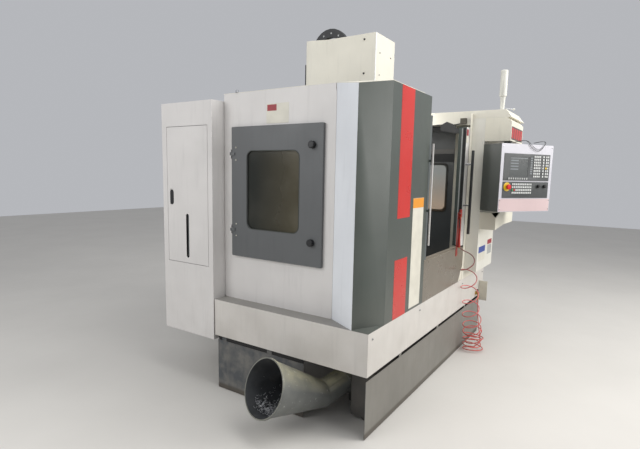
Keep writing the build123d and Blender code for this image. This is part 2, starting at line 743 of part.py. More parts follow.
def make_base_panels():
    x = HALF_W - BASE_PANEL_INSET
    y = back(BASE_FRONT_DEPTH)
    rear = back(BAND_DEPTH)
    front = block(-x, x, y, y + SHEET, BASE_PANEL_LOW, BASE_PANEL_TOP)
    pan_under = PAN_FLOOR - SHEET - FIT
    for hx in HANGER_XS:
        front += block(hx - HANGER_WIDTH / 2, hx + HANGER_WIDTH / 2, y + SHEET,
                       y + SHEET + HANGER_THICK, BASE_PANEL_LOW + HANGER_WIDTH, BASE_PANEL_TOP)
        front += block(hx - HANGER_WIDTH / 2, hx + HANGER_WIDTH / 2, y + SHEET,
                       y + SHEET + HANGER_THICK, BASE_PANEL_TOP, BAND_TOP - SHEET - FIT)
    panels = [front]
    for side, start in ((-1, BASE_SIDE_FRONT), (1, BASE_FRONT_DEPTH + 2 * SHEET)):
        panel = block(side * x, side * (x - SHEET), back(start), rear, BASE_PANEL_LOW, BASE_PANEL_TOP)
        for depth in HANGER_DEPTHS:
            panel += block(side * (x - SHEET), side * (x - SHEET - HANGER_THICK), back(depth),
                           back(depth) + HANGER_WIDTH, BASE_PANEL_LOW + HANGER_WIDTH,
                           BAND_TOP - SHEET - FIT)
        panels.append(panel - spout_solid(SPOUT_CLEAR))
    return panels


def make_coolant_tank():
    tank = block(-TANK_HALF_X, TANK_HALF_X, back(TANK_FRONT), back(TANK_REAR), TANK_LOW, TANK_TOP)
    tank = fillet(tank.edges().filter_by(Axis.Z), 4 * SHEET)
    tank -= block(-TANK_HALF_X + SHEET, TANK_HALF_X - SHEET, back(TANK_FRONT) + SHEET,
                  back(TANK_REAR) - SHEET, TANK_LOW + SHEET, TANK_TOP - SHEET)
    tank -= block(-TANK_MOUTH_HALF_X, TANK_MOUTH_HALF_X, back(TANK_MOUTH_FRONT),
                  back(TANK_MOUTH_REAR), TANK_TOP - 2 * SHEET, TANK_TOP + 1)
    middle = back((TANK_FRONT + TANK_REAR) / 2)
    for side in (-1, 1):
        x = side * (TANK_HALF_X - FOOT_R)
        tank += rod_z(x, middle, 0, TANK_LOW + 1, SEAT_BLOCK)
    return tank


# Outer covers

def corner_slope(side, spread):
    return slope_face([(side * BEVEL_REAR_X, back(BEVEL_DEPTH), PANEL_TOP),
                       (side * HALF_W, back(CORNER_DEPTH), PANEL_TOP - CORNER_DROP),
                       (side * (HALF_W - CORNER_RUN), FRONT_Y, PANEL_TOP)], spread)


def above_corner(side):
    return extrude(corner_slope(side, 0.3), 2 * CORNER_DROP, dir=(0, 0, 1))


def corner_sheet(side, edge_x):
    outer = [(side * HALF_W, back(CORNER_DEPTH)), (side * (HALF_W - CORNER_RUN), FRONT_Y),
             (edge_x, FRONT_Y), (edge_x, FRONT_Y + SHEET)]
    slope = atan2(CORNER_DEPTH, CORNER_RUN)
    inset = SHEET * tan(slope / 2)
    inner = [(side * (HALF_W - CORNER_RUN - inset), FRONT_Y + SHEET),
             (side * (HALF_W - SHEET / sin(slope)), back(CORNER_DEPTH))]
    return prism(outer + inner, BAND_TOP, PANEL_TOP) - above_corner(side)


def door_guide(side, edge_x, far_x):
    y0 = FRONT_Y + SHEET
    y1 = back(GUIDE_REACH)
    plate = block(edge_x + side * COVER_LIP, far_x, y0, y1, GUIDE_Z, GUIDE_Z + SHEET)
    lip = block(edge_x + side * COVER_LIP, far_x, y1 - SHEET, y1, GUIDE_Z - GUIDE_DROP, GUIDE_Z)
    return plate + lip


def make_front_left_cover():
    cover = corner_sheet(-1, LEFT_COVER_EDGE)
    foot = prism([(-HALF_W, back(CORNER_DEPTH)), (-HALF_W + CORNER_RUN, FRONT_Y),
                  (-HALF_W, FRONT_Y)], BAND_TOP, BAND_TOP + SHEET)
    return cover + foot + door_guide(-1, LEFT_COVER_EDGE, -HALF_W + CORNER_RUN + BED_WALL)


def bevel_sheet(side):
    plan = [(side * BEVEL_REAR_X, back(BEVEL_DEPTH)), (side * HALF_W, back(CORNER_DEPTH) + FIT),
            (side * (HALF_W - 2 * SHEET), back(CORNER_DEPTH) + FIT),
            (side * (BEVEL_REAR_X - SHEET), back(BEVEL_DEPTH) - SHEET)]
    return prism(plan, BAND_TOP, PANEL_TOP) - above_corner(side)


def make_front_right_cover():
    cover = corner_sheet(1, RIGHT_COVER_EDGE) + bevel_sheet(1)
    cover += block(HALF_W - 2 * SHEET, HALF_W - SHEET, back(CORNER_DEPTH) - SHEET,
                   back(CORNER_DEPTH) + SHEET, BAND_TOP, PANEL_TOP - CORNER_DROP)
    filler = block(APRON_RIGHT - APRON_CHAMFER_X, RIGHT_COVER_EDGE + SHEET, FRONT_Y + SHEET + FIT,
                   FRONT_Y + 2 * SHEET + FIT, BAND_TOP, BAND_TOP + APRON_CHAMFER_Z + 2 * SHEET)
    link = block(RIGHT_COVER_EDGE, RIGHT_COVER_EDGE + SHEET, FRONT_Y, FRONT_Y + 2 * SHEET + FIT,
                 BAND_TOP, BAND_TOP + APRON_CHAMFER_Z + 2 * SHEET)
    cover += filler + link
    return cover + door_guide(1, RIGHT_COVER_EDGE, HALF_W - CORNER_RUN - BED_WALL)


def make_left_corner_bevel():
    return bevel_sheet(-1)


def hinge_axis():
    x = -SIDE_X - HATCH_GAP - HATCH_THICK - HINGE_OUT
    return x, back(HATCH_REAR) + HINGE_BACK


def hinge_knuckles(z, on_side_panel):
    x, y = hinge_axis()
    third = HINGE_HEIGHT / 3
    low = z - HINGE_HEIGHT / 2
    spans = ((low, low + third), (low + 2 * third, low + 3 * third)) if on_side_panel else (
        (low + third + FIT, low + 2 * third - FIT),)
    return x, y, spans


def make_side_panel(side):
    return block(side * SIDE_X, side * (SIDE_X - SHEET), back(BEVEL_DEPTH), REAR_WALL_Y - FIT,
                 BAND_TOP, PANEL_TOP)


def make_left_side_panel():
    panel = make_side_panel(-1)
    panel -= rounded_x(-SIDE_X - 1, -SIDE_X + SHEET + 1, back(HATCH_FRONT + HATCH_LAP),
                       back(HATCH_REAR - HATCH_LAP), HATCH_LOW + HATCH_LAP, HATCH_HIGH - HATCH_LAP,
                       WINDOW_RADIUS)
    for z in HINGE_ZS:
        x, y, spans = hinge_knuckles(z, True)
        for z0, z1 in spans:
            panel += rod_z(x, y, z0, z1, HINGE_R)
            panel += block(x, -SIDE_X, y + HINGE_PIN_R, y + HINGE_R, z0, z1)
        panel += rod_z(x, y, z - HINGE_HEIGHT / 2, z + HINGE_HEIGHT / 2, HINGE_PIN_R)
    return panel


def make_right_side_panel():
    panel = make_side_panel(1)
    return panel - rounded_x(SIDE_X - SHEET - 1, SIDE_X + 1, back(RIGHT_WINDOW_FRONT),
                             back(RIGHT_WINDOW_REAR), RIGHT_WINDOW_LOW, RIGHT_WINDOW_HIGH,
                             WINDOW_RADIUS)


def make_right_window_pane():
    return rounded_x(SIDE_X - SHEET - PANE_THICK, SIDE_X - SHEET,
                     back(RIGHT_WINDOW_FRONT) - PANE_LAP, back(RIGHT_WINDOW_REAR) + PANE_LAP,
                     RIGHT_WINDOW_LOW - PANE_LAP, RIGHT_WINDOW_HIGH + PANE_LAP, WINDOW_RADIUS)


def make_rear_wall():
    half = HEAD_PLATE_HALF_W + BED_WALL / 2
    wall = block(-SIDE_X + SHEET, SIDE_X - SHEET, REAR_WALL_Y, REAR_WALL_Y + SHEET,
                 BAND_TOP, PANEL_TOP)
    for side in (-1, 1):
        wall += block(side * (BED_HALF_W + BED_WALL), side * (SIDE_X - SHEET), back(BAND_DEPTH) - SHEET,
                      REAR_WALL_Y + 1, BAND_TOP, BAND_TOP + SHEET)
    return wall - block(-half, half, REAR_WALL_Y - 1, REAR_WALL_Y + SHEET + 1, Z_RAIL_LOW - BED_WALL,
                        PANEL_TOP + 1)


def make_roof_panels():
    panels = []
    rear = REAR_WALL_Y + SHEET
    for side in (-1, 1):
        edge = side * ROOF_EDGE_X
        plate = prism([(edge, FRONT_Y), (side * (HALF_W - CORNER_RUN), FRONT_Y),
                       (side * BEVEL_REAR_X, back(BEVEL_DEPTH)),
                       (side * SIDE_X, back(BEVEL_DEPTH)), (side * SIDE_X, rear), (edge, rear)],
                      PANEL_TOP, PANEL_TOP + SHEET)
        plate += extrude(corner_slope(side, 0.0), SHEET, dir=(0, 0, 1))
        rim_front = back(LEFT_RIM_FRONT) if side < 0 else FRONT_Y + SHEET + FIT
        rim = block(edge, edge + side * ROOF_RIM_WIDTH, rim_front, rear, ROOF_RIM_LOW, ROOF_RIM_TOP)
        rim -= block(edge - side, edge + side * (ROOF_RIM_WIDTH + 1), REAR_WALL_Y - FIT, rear + 1,
                     ROOF_RIM_LOW - 1, PANEL_TOP)
        panels.append(plate + rim)
    front = back(CAP_FRONT)
    cap = block(ROOF_EDGE_X, CAP_RIGHT_X, front, FRONT_Y, CAP_LOW, ROOF_RIM_TOP)
    nose = Plane.YZ * make_face(Polyline((front, ROOF_RIM_TOP), (front - CAP_BEVEL, CAP_LOW),
                                         (front, CAP_LOW), close=True))
    cap += Pos(ROOF_EDGE_X, 0, 0) * extrude(nose, CAP_RIGHT_X - ROOF_EDGE_X, dir=(1, 0, 0))
    cap += block(ROOF_EDGE_X, CAP_RIGHT_X, FRONT_Y, FRONT_Y + BED_WALL, PANEL_TOP, ROOF_RIM_TOP)
    inner = block(ROOF_EDGE_X + SHEET, CAP_RIGHT_X - SHEET, front, FRONT_Y - SHEET, CAP_LOW - 1,
                  ROOF_RIM_TOP - SHEET)
    panels[1] = panels[1] + (cap - inner)
    return panels


def make_front_apron():
    left = LEFT_COVER_EDGE + FIT
    low = BAND_TOP
    outline = [(left, low), (APRON_RIGHT - APRON_CHAMFER_X, low), (APRON_RIGHT, low + APRON_CHAMFER_Z),
               (APRON_RIGHT, APRON_TOP), (left, APRON_TOP)]
    face = make_face(Polyline(*outline, close=True))
    apron = Pos(0, FRONT_Y + SHEET, 0) * Rot(90, 0, 0) * extrude(face, SHEET)
    apron += block(left, APRON_RIGHT, FRONT_Y, back(TRACK_FRONT) + 1, APRON_TOP - SHEET, APRON_TOP)
    track = block(TRACK_LEFT, TRACK_RIGHT, back(TRACK_FRONT), back(TRACK_FRONT + TRACK_DEPTH),
                  TRACK_TOP - TRACK_HEIGHT, TRACK_TOP)
    back_plate = block(TRACK_LEFT, TRACK_RIGHT, back(TRACK_FRONT + TRACK_DEPTH) - SHEET,
                       back(TRACK_FRONT + TRACK_DEPTH), BAND_TOP, TRACK_TOP)
    return apron + track + back_plate


# Sliding doors

def door_span(side):
    edge = LEFT_DOOR_EDGE if side < 0 else RIGHT_DOOR_EDGE
    far = edge + side * DOOR_WIDTH
    return min(edge, far), max(edge, far)


def make_door(side):
    x0, x1 = door_span(side)
    y0 = back(DOOR_FRONT)
    y1 = back(DOOR_FRONT + DOOR_THICK)
    door = block(x0, x1, y0, y1, DOOR_BOTTOM, DOOR_TOP)
    door -= block(x0 + SHEET, x1 - SHEET, y0 + SHEET, y1 + 1, DOOR_BOTTOM + SHEET, DOOR_TOP - SHEET)
    door -= rounded_y(x0 + DOOR_WINDOW_SIDE, x1 - DOOR_WINDOW_SIDE, y0 - 1, y1,
                      DOOR_BOTTOM + DOOR_WINDOW_LOW, DOOR_TOP - DOOR_WINDOW_HIGH, WINDOW_RADIUS)
    for x in (x0 + SHOE_INSET, x1 - SHOE_INSET - SHOE_LENGTH):
        door += block(x, x + SHOE_LENGTH, back(TRACK_FRONT) + SHEET,
                      back(TRACK_FRONT + TRACK_DEPTH) - 2 * SHEET, TRACK_TOP + FIT,
                      DOOR_BOTTOM + SHEET)
    return door


def make_door_pane(side):
    x0, x1 = door_span(side)
    y0 = back(DOOR_FRONT) + SHEET
    return rounded_y(x0 + DOOR_WINDOW_SIDE - PANE_LAP, x1 - DOOR_WINDOW_SIDE + PANE_LAP,
                     y0, y0 + PANE_THICK, DOOR_BOTTOM + DOOR_WINDOW_LOW - PANE_LAP,
                     DOOR_TOP - DOOR_WINDOW_HIGH + PANE_LAP, WINDOW_RADIUS)


def make_door_handle(side):
    x = LEFT_DOOR_EDGE - LEFT_HANDLE_IN if side < 0 else RIGHT_DOOR_EDGE + RIGHT_HANDLE_IN
    standoff = LEFT_HANDLE_STANDOFF if side < 0 else RIGHT_HANDLE_STANDOFF
    y1 = back(DOOR_FRONT)
    y0 = y1 - standoff
    bar = block(x - HANDLE_BAR / 2, x + HANDLE_BAR / 2, y0 - HANDLE_BAR, y0, HANDLE_LOW, HANDLE_HIGH)
    bar = fillet(bar.edges().filter_by(Axis.Z), HANDLE_EDGE_R)
    for z in HANDLE_FIX_ZS:
        bar += rod_y(x, y0 - 1, y1, z, HANDLE_FIX_R)
    return bar


# Hinged side window panel

def make_side_window_panel():
    x1 = -SIDE_X - HATCH_GAP
    x0 = x1 - HATCH_THICK
    panel = block(x0, x1, back(HATCH_FRONT), back(HATCH_REAR), HATCH_LOW, HATCH_HIGH)
    panel = fillet(panel.edges().filter_by(Axis.X), 2 * SHEET)
    panel -= rounded_x(x0 - 1, x1 + 1, back(SIDE_WINDOW_FRONT), back(SIDE_WINDOW_REAR),
                       SIDE_WINDOW_LOW, SIDE_WINDOW_HIGH, WINDOW_RADIUS)
    panel -= rounded_x(x0 + HATCH_THICK / 2, x1 + 1, back(SIDE_WINDOW_FRONT) - PANE_LAP,
                       back(SIDE_WINDOW_REAR) + PANE_LAP, SIDE_WINDOW_LOW - PANE_LAP,
                       SIDE_WINDOW_HIGH + PANE_LAP, WINDOW_RADIUS)
    for z in KNOB_ZS:
        panel -= rod_x(x0 - 1, x1 + 1, back(KNOB_DEPTH), z, KNOB_BORE_R)
    for z in HINGE_ZS:
        hx, hy, spans = hinge_knuckles(z, False)
        for z0, z1 in spans:
            knuckle = rod_z(hx, hy, z0, z1, HINGE_R)
            knuckle += block(hx - 1, x0 + 1, hy - HINGE_TAIL, hy, z0, z1)
            panel += knuckle - rod_z(hx, hy, z0, z1, HINGE_BORE_R)
    return panel


def make_side_window_pane():
    x1 = -SIDE_X - HATCH_GAP
    x0 = x1 - HATCH_THICK / 2
    return rounded_x(x0, x0 + PANE_THICK, back(SIDE_WINDOW_FRONT) - PANE_LAP,
                     back(SIDE_WINDOW_REAR) + PANE_LAP, SIDE_WINDOW_LOW - PANE_LAP,
                     SIDE_WINDOW_HIGH + PANE_LAP, WINDOW_RADIUS)


def make_window_knob(z):
    x1 = -SIDE_X - HATCH_GAP
    x0 = x1 - HATCH_THICK
    knob = rod_x(x0 - FIT - KNOB_HEIGHT, x0 - FIT, back(KNOB_DEPTH), z, KNOB_R)
    knob = chamfer(knob.edges().sort_by(Axis.X)[0], KNOB_CHAMFER)
    for flute in range(KNOB_FLUTES):
        angle = radians(flute * 360 / KNOB_FLUTES)
        y = back(KNOB_DEPTH) + KNOB_FLUTE_OUT * sin(angle)
        knob -= rod_x(x0 - FIT - KNOB_HEIGHT - 1, x0 - KNOB_COLLAR, y, z + KNOB_FLUTE_OUT * cos(angle),
                      KNOB_FLUTE_R)
    return knob + rod_x(x0 - 1, x1, back(KNOB_DEPTH), z, KNOB_STEM_R)


# Cabinets, their doors made in a local frame: face towards -Y, pin at the left end

def flush_leaf(width, height):
    leaf = block(LEAF_GAP, width - LEAF_GAP, 0, LEAF_THICK, LEAF_GAP, height - LEAF_GAP)
    leaf -= block(LEAF_GAP + 3 * LEAF_PIN_BACK, width - LEAF_GAP - SHEET, SHEET, LEAF_THICK + 1,
                  LEAF_GAP + 3 * LEAF_PIN_BACK, height - LEAF_GAP - 3 * LEAF_PIN_BACK)
    x = LEAF_GAP + LEAF_PIN_BACK
    for z0, z1 in ((LEAF_GAP - LEAF_PIN_LENGTH, LEAF_GAP + 1),
                   (height - LEAF_GAP - 1, height - LEAF_GAP + LEAF_PIN_LENGTH)):
        leaf += rod_z(x, LEAF_PIN_IN, z0, z1, LEAF_PIN_R)
    return leaf


def leaf_hole(width, height):
    return block(0, width, -1, 4 * LEAF_THICK, 0, height)


def leaf_lugs(height):
    spans = ((-LEAF_LUG, 0.0), (height, height + LEAF_LUG))
    return [block(0, 4 * LEAF_PIN_BACK, 0, 3 * LEAF_PIN_IN, z0, z1) for z0, z1 in spans]


def leaf_bore(height):
    return rod_z(LEAF_GAP + LEAF_PIN_BACK, LEAF_PIN_IN, -LEAF_LUG, height + LEAF_LUG,
                 LEAF_PIN_R + BEARING_FIT)


def to_service(shape):
    turned = mirror(shape, about=Plane.YZ)
    return Pos(-HALF_W, back(SERVICE_DOOR_FRONT), SERVICE_DOOR_LOW) * Rot(0, 0, -90) * turned


def to_electric(shape):
    turned = mirror(shape, about=Plane.YZ)
    return Pos(ELECTRIC_DOOR_LEFT_X, back(ELECTRIC_REAR), ELECTRIC_DOOR_LOW) * Rot(0, 0, 180) * turned


def service_leaf_size():
    return SERVICE_DOOR_REAR - SERVICE_DOOR_FRONT, SERVICE_DOOR_HIGH - SERVICE_DOOR_LOW


def electric_leaf_size():
    return ELECTRIC_DOOR_RIGHT_X - ELECTRIC_DOOR_LEFT_X, ELECTRIC_DOOR_HIGH - ELECTRIC_DOOR_LOW


def hollow_box(x0, x1, y0, y1, z0, z1):
    shell = block(x0, x1, y0, y1, z0, z1)
    return shell - block(x0 + SHEET, x1 - SHEET, y0 + SHEET, y1 - SHEET, z0 + SHEET, z1 - SHEET)


def make_service_cabinet():
    width, height = service_leaf_size()
    shell = hollow_box(-HALF_W, SERVICE_RIGHT_X, back(SERVICE_FRONT), back(SERVICE_REAR),
                       SERVICE_LOW, SERVICE_TOP)
    shell -= to_service(leaf_hole(width, height))
    for lug in leaf_lugs(height):
        shell += to_service(lug)
    return shell - to_service(leaf_bore(height))


def make_service_door():
    width, height = service_leaf_size()
    leaf = flush_leaf(width, height)
    slot = SlotOverall(SERVICE_SLOT_LENGTH, SERVICE_SLOT_W, rotation=90)
    leaf -= Pos(SERVICE_SLOT_X, 0, SERVICE_SLOT_Z) * Rot(90, 0, 0) * extrude(slot, 2 * SHEET, both=True)
    x = width - LATCH_IN
    top = LATCH_LOW + LATCH_HEIGHT
    leaf -= block(x - LATCH_HALF_W, x + LATCH_HALF_W, -1, SHEET + 1, LATCH_LOW, top)
    outer = LATCH_HALF_W + SHEET
    cup = block(x - outer, x + outer, SHEET / 2, 3 * SHEET, LATCH_LOW - SHEET, top + SHEET)
    cup -= block(x - LATCH_HALF_W, x + LATCH_HALF_W, 0, 2 * SHEET, LATCH_LOW, top)
    paddle = block(x - LATCH_HALF_W + 1, x + LATCH_HALF_W - 1, SHEET, 2 * SHEET + 1,
                   LATCH_LOW + LATCH_HEIGHT / 2, top - SHEET)
    return to_service(leaf + cup + paddle)


def make_electric_cabinet():
    width, height = electric_leaf_size()
    shell = hollow_box(ELECTRIC_LEFT_X, ELECTRIC_RIGHT_X, back(ELECTRIC_FRONT), back(ELECTRIC_REAR),
                       SERVICE_LOW, SERVICE_TOP)
    shell -= to_electric(leaf_hole(width, height))
    for lug in leaf_lugs(height):
        shell += to_electric(lug)
    shell -= to_electric(leaf_bore(height))
    for side in (-1, 1):
        x = side * (COLUMN_HALF_W - BED_WALL)
        shell += block(x - BED_WALL / 2, x + BED_WALL / 2, BED_REAR_Y + FIT, back(ELECTRIC_FRONT),
                       BED_TOP - 4 * BED_WALL, BED_TOP - BED_WALL)
        shell += block(x - BED_WALL / 2, x + BED_WALL / 2, COLUMN_REAR_Y + FIT, back(ELECTRIC_FRONT),
                       SERVICE_TOP - 4 * BED_WALL, SERVICE_TOP - BED_WALL)
    shell += block(SERVICE_RIGHT_X - BED_WALL, ELECTRIC_LEFT_X, back(SERVICE_REAR) + FIT,
                   back(SERVICE_REAR) + SEAT_BLOCK, SERVICE_TOP - 6 * BED_WALL, SERVICE_TOP - BED_WALL)
    vent_x = (ELECTRIC_DOOR_RIGHT_X + ELECTRIC_RIGHT_X) / 2
    for row in range(VENT_ROWS):
        z = SERVICE_TOP - 5 * BED_WALL - row * VENT_PITCH
        shell -= block(vent_x - VENT_HALF_W, vent_x + VENT_HALF_W, back(ELECTRIC_REAR) - SHEET - 1,
                       back(ELECTRIC_REAR) + 1, z, z + VENT_SLOT)
    gland_x = ELECTRIC_RIGHT_X - 3 * BED_WALL
    gland_z = SERVICE_LOW + 3 * BED_WALL
    rear = back(ELECTRIC_REAR)
    shell += rod_y(gland_x, rear - 1, rear + GLAND_OUT, gland_z, GLAND_R)
    shell -= rod_y(gland_x, rear - 2 * SHEET, rear + GLAND_OUT + 1, gland_z, MAINS_BORE_R)
    return shell


def make_electric_door():
    width, height = electric_leaf_size()
    leaf = flush_leaf(width, height)
    x = width - SWITCH_IN
    half = SWITCH_PLATE / 2
    middle = SWITCH_LOW + half
    leaf += block(x - half, x + half, -SHEET, 1, SWITCH_LOW, SWITCH_LOW + SWITCH_PLATE)
    leaf += rod_y(x, -SWITCH_OUT, 0, middle, SWITCH_R)
    leaf += block(x - SWITCH_GRIP / 2, x + SWITCH_GRIP / 2, -SWITCH_OUT - SWITCH_GRIP, 1 - SWITCH_OUT,
                  middle - SWITCH_R, middle + SWITCH_R)
    pull = block(x - PULL_THICK, x + PULL_THICK, -PULL_OUT - PULL_THICK, -PULL_OUT, PULL_LOW,
                 PULL_LOW + PULL_LENGTH)
    for z in (PULL_LOW + PULL_THICK, PULL_LOW + PULL_LENGTH - PULL_THICK):
        pull += rod_y(x, -PULL_OUT - 1, 1, z, PULL_THICK * 0.75)
    return to_electric(leaf + pull)


# Saddle, table and feed screws

def carriage(width_axis, x, y, z0, z1):
    half = RAIL_W / 2 + CARRIAGE_SIDE
    if width_axis == "x":
        return block(x - half, x + half, y - CARRIAGE_HALF, y + CARRIAGE_HALF, z0, z1)
    return block(x - CARRIAGE_HALF, x + CARRIAGE_HALF, y - half, y + half, z0, z1)


def make_saddle():
    y = SPINDLE_Y
    body = block(-SADDLE_HALF_X, SADDLE_HALF_X, y - SADDLE_HALF_Y, y + SADDLE_HALF_Y,
                 SADDLE_LOW, SADDLE_TOP)
    body = chamfer(body.edges().filter_by(Axis.Y).group_by(Axis.Z)[0], SADDLE_CHAMFER)
    groove = NUT_HALF + NUT_CLEAR
    body -= block(-SADDLE_HALF_X + SEAT_BLOCK, SADDLE_HALF_X - SEAT_BLOCK, y - groove, y + groove,
                  X_SCREW_Z - groove, SADDLE_TOP + 1)
    clear = RAIL_W / 2 + RAIL_CLEAR
    for side in (-1, 1):
        for shift in (-CARRIAGE_OFFSET_Y, CARRIAGE_OFFSET_Y):
            block_low = BED_TOP + CARRIAGE_UP
            part = carriage("x", side * Y_RAIL_X, y + shift, block_low, SADDLE_LOW + 1)
            part -= block(side * Y_RAIL_X - clear, side * Y_RAIL_X + clear,
                          y + shift - CARRIAGE_HALF - 1, y + shift + CARRIAGE_HALF + 1,
                          block_low - 1, BED_TOP + RAIL_H + RAIL_CLEAR)
            body += part
        body += block(-SADDLE_HALF_X, SADDLE_HALF_X, y + side * X_RAIL_Y - RAIL_W / 2,
                      y + side * X_RAIL_Y + RAIL_W / 2, SADDLE_TOP, SADDLE_TOP + RAIL_H)
    nut = block(-NUT_HALF, NUT_HALF, y - NUT_HALF, y + NUT_HALF, Y_SCREW_Z - NUT_HALF, SADDLE_LOW + 1)
    body += nut
    body -= rod_y(0, y - NUT_HALF - 1, y + NUT_HALF + 1, Y_SCREW_Z, SCREW_R + SCREW_FIT)
    body -= rod_x(-SADDLE_HALF_X - 1, SADDLE_HALF_X + 1, y, X_SCREW_Z, SCREW_R + BEARING_FIT)
    motor = block(SADDLE_HALF_X, SADDLE_HALF_X + MOTOR_LENGTH, y - MOTOR_HALF, y + MOTOR_HALF,
                  X_SCREW_Z - MOTOR_HALF, X_SCREW_Z + MOTOR_HALF)
    motor = chamfer(motor.edges().filter_by(Axis.X), MOTOR_CHAMFER)
    motor -= rod_x(SADDLE_HALF_X, SADDLE_HALF_X + SEAT_BLOCK, y, X_SCREW_Z, SCREW_R + MOTOR_BORE_CLEAR)
    return body + motor


def make_table():
    y = SPINDLE_Y
    top = block(-TABLE_HALF_X, TABLE_HALF_X, y - TABLE_HALF_Y, y + TABLE_HALF_Y, TABLE_LOW, TABLE_TOP)
    for row in (-1, 0, 1):
        slot_y = y + row * T_SLOT_PITCH
        top -= block(-TABLE_HALF_X - 1, TABLE_HALF_X + 1, slot_y - T_SLOT_W / 2, slot_y + T_SLOT_W / 2,
                     TABLE_TOP - T_SLOT_DEEP, TABLE_TOP + 1)
        top -= block(-TABLE_HALF_X - 1, TABLE_HALF_X + 1, slot_y - T_SLOT_FOOT_W / 2,
                     slot_y + T_SLOT_FOOT_W / 2, TABLE_TOP - T_SLOT_DEEP,
                     TABLE_TOP - T_SLOT_DEEP + T_SLOT_FOOT_H)
    clear = RAIL_W / 2 + RAIL_CLEAR
    low = SADDLE_TOP + CARRIAGE_UP
    for side in (-1, 1):
        for shift in (-CARRIAGE_OFFSET_X, CARRIAGE_OFFSET_X):
            part = carriage("y", shift, y + side * X_RAIL_Y, low, TABLE_LOW + 1)
            part -= block(shift - CARRIAGE_HALF - 1, shift + CARRIAGE_HALF + 1,
                          y + side * X_RAIL_Y - clear, y + side * X_RAIL_Y + clear,
                          low - 1, SADDLE_TOP + RAIL_H + RAIL_CLEAR)
            top += part
    nut = block(-2 * NUT_HALF, 2 * NUT_HALF, y - NUT_HALF, y + NUT_HALF, X_SCREW_Z - NUT_HALF,
                TABLE_LOW + 1)
    return top + (nut - rod_x(-2 * NUT_HALF - 1, 2 * NUT_HALF + 1, y, X_SCREW_Z, SCREW_R + SCREW_FIT))


def make_x_screw():
    return rod_x(-SADDLE_HALF_X + SCREW_END, SADDLE_HALF_X + SEAT_BLOCK - SCREW_END, SPINDLE_Y,
                 X_SCREW_Z, SCREW_R)


def make_y_screw():
    return rod_y(0, BED_FRONT_Y - 2 * SEAT_BLOCK + SCREW_END, Y_RAIL_REAR + SEAT_BLOCK - SCREW_END,
                 Y_SCREW_Z, SCREW_R)


def make_z_screw():
    return rod_z(0, Z_SCREW_Y, Z_RAIL_LOW + COLUMN_WALL + SCREW_END, COLUMN_TOP + COLUMN_WALL, SCREW_R)


# Head, spindle and cover

def make_head_casting():
    head = block(-HEAD_PLATE_HALF_W, HEAD_PLATE_HALF_W, HEAD_PLATE_FRONT, HEAD_PLATE_REAR,
                 HEAD_LOW - HEAD_PLATE_DROP, HEAD_PLATE_TOP)
    body = block(-HEAD_HALF_W, HEAD_HALF_W, HEAD_FRONT_Y, HEAD_NECK_FRONT, HEAD_LOW, HEAD_TOP)
    head += fillet(body.edges().filter_by(Axis.Z), HEAD_EDGE_R)
    head += block(-HEAD_NECK_HALF_W, HEAD_NECK_HALF_W, HEAD_NECK_FRONT - HEAD_EDGE_R,
                  HEAD_PLATE_FRONT + 1, HEAD_LOW, HEAD_TOP)
    clear = RAIL_W / 2 + RAIL_CLEAR
    half = RAIL_W / 2 + CARRIAGE_SIDE
    for side in (-1, 1):
        x = side * Z_RAIL_X
        for z in Z_CARRIAGE_ZS:
            part = block(x - half, x + half, HEAD_PLATE_REAR - 1, COLUMN_FRONT_Y - CARRIAGE_UP,
                         z - CARRIAGE_HALF, z + CARRIAGE_HALF)
            part -= block(x - clear, x + clear, COLUMN_FRONT_Y - RAIL_H - RAIL_CLEAR,
                          COLUMN_FRONT_Y, z - CARRIAGE_HALF - 1, z + CARRIAGE_HALF + 1)
            head += part
    middle = (Z_CARRIAGE_ZS[0] + Z_CARRIAGE_ZS[1]) / 2
    nut = block(-NUT_HALF, NUT_HALF, HEAD_PLATE_REAR - 1, Z_SCREW_Y + NUT_HALF,
                middle - 2 * NUT_HALF, middle + 2 * NUT_HALF)
    head += nut - rod_z(0, Z_SCREW_Y, middle - 3 * NUT_HALF, middle + 3 * NUT_HALF, SCREW_R + SCREW_FIT)
    flange_low = HEAD_LOW - NOSE_FLANGE_DROP
    head -= rod_z(0, Z_SCREW_Y, flange_low, HEAD_PLATE_TOP + 1, SCREW_R + SCREW_FIT)
    head += rod_z(0, SPINDLE_Y, flange_low, HEAD_LOW + 1, SPINDLE_NOSE_R + NOSE_FLANGE)
    head -= rod_z(0, SPINDLE_Y, flange_low - 1, HEAD_TOP + 1, SPINDLE_R + BEARING_FIT)
    return head


def make_spindle():
    shaft = rod_z(0, SPINDLE_Y, SPINDLE_NOSE, SPINDLE_TOP, SPINDLE_R)
    shaft += rod_z(0, SPINDLE_Y, SPINDLE_NOSE, HEAD_LOW - NOSE_FLANGE_DROP - NOSE_GAP, SPINDLE_NOSE_R)
    for side in (-1, 1):
        shaft += block(side * TAPER_R, side * (SPINDLE_NOSE_R - DRIVE_KEY_INSET),
                       SPINDLE_Y - DRIVE_KEY_HALF_W, SPINDLE_Y + DRIVE_KEY_HALF_W,
                       SPINDLE_NOSE - DRIVE_KEY_OUT, SPINDLE_NOSE + 1)
    return shaft - cone_z(0, SPINDLE_Y, SPINDLE_NOSE, SPINDLE_NOSE + TAPER_DEEP, TAPER_R,
                          TAPER_R - TAPER_DEEP * TAPER_RATIO)


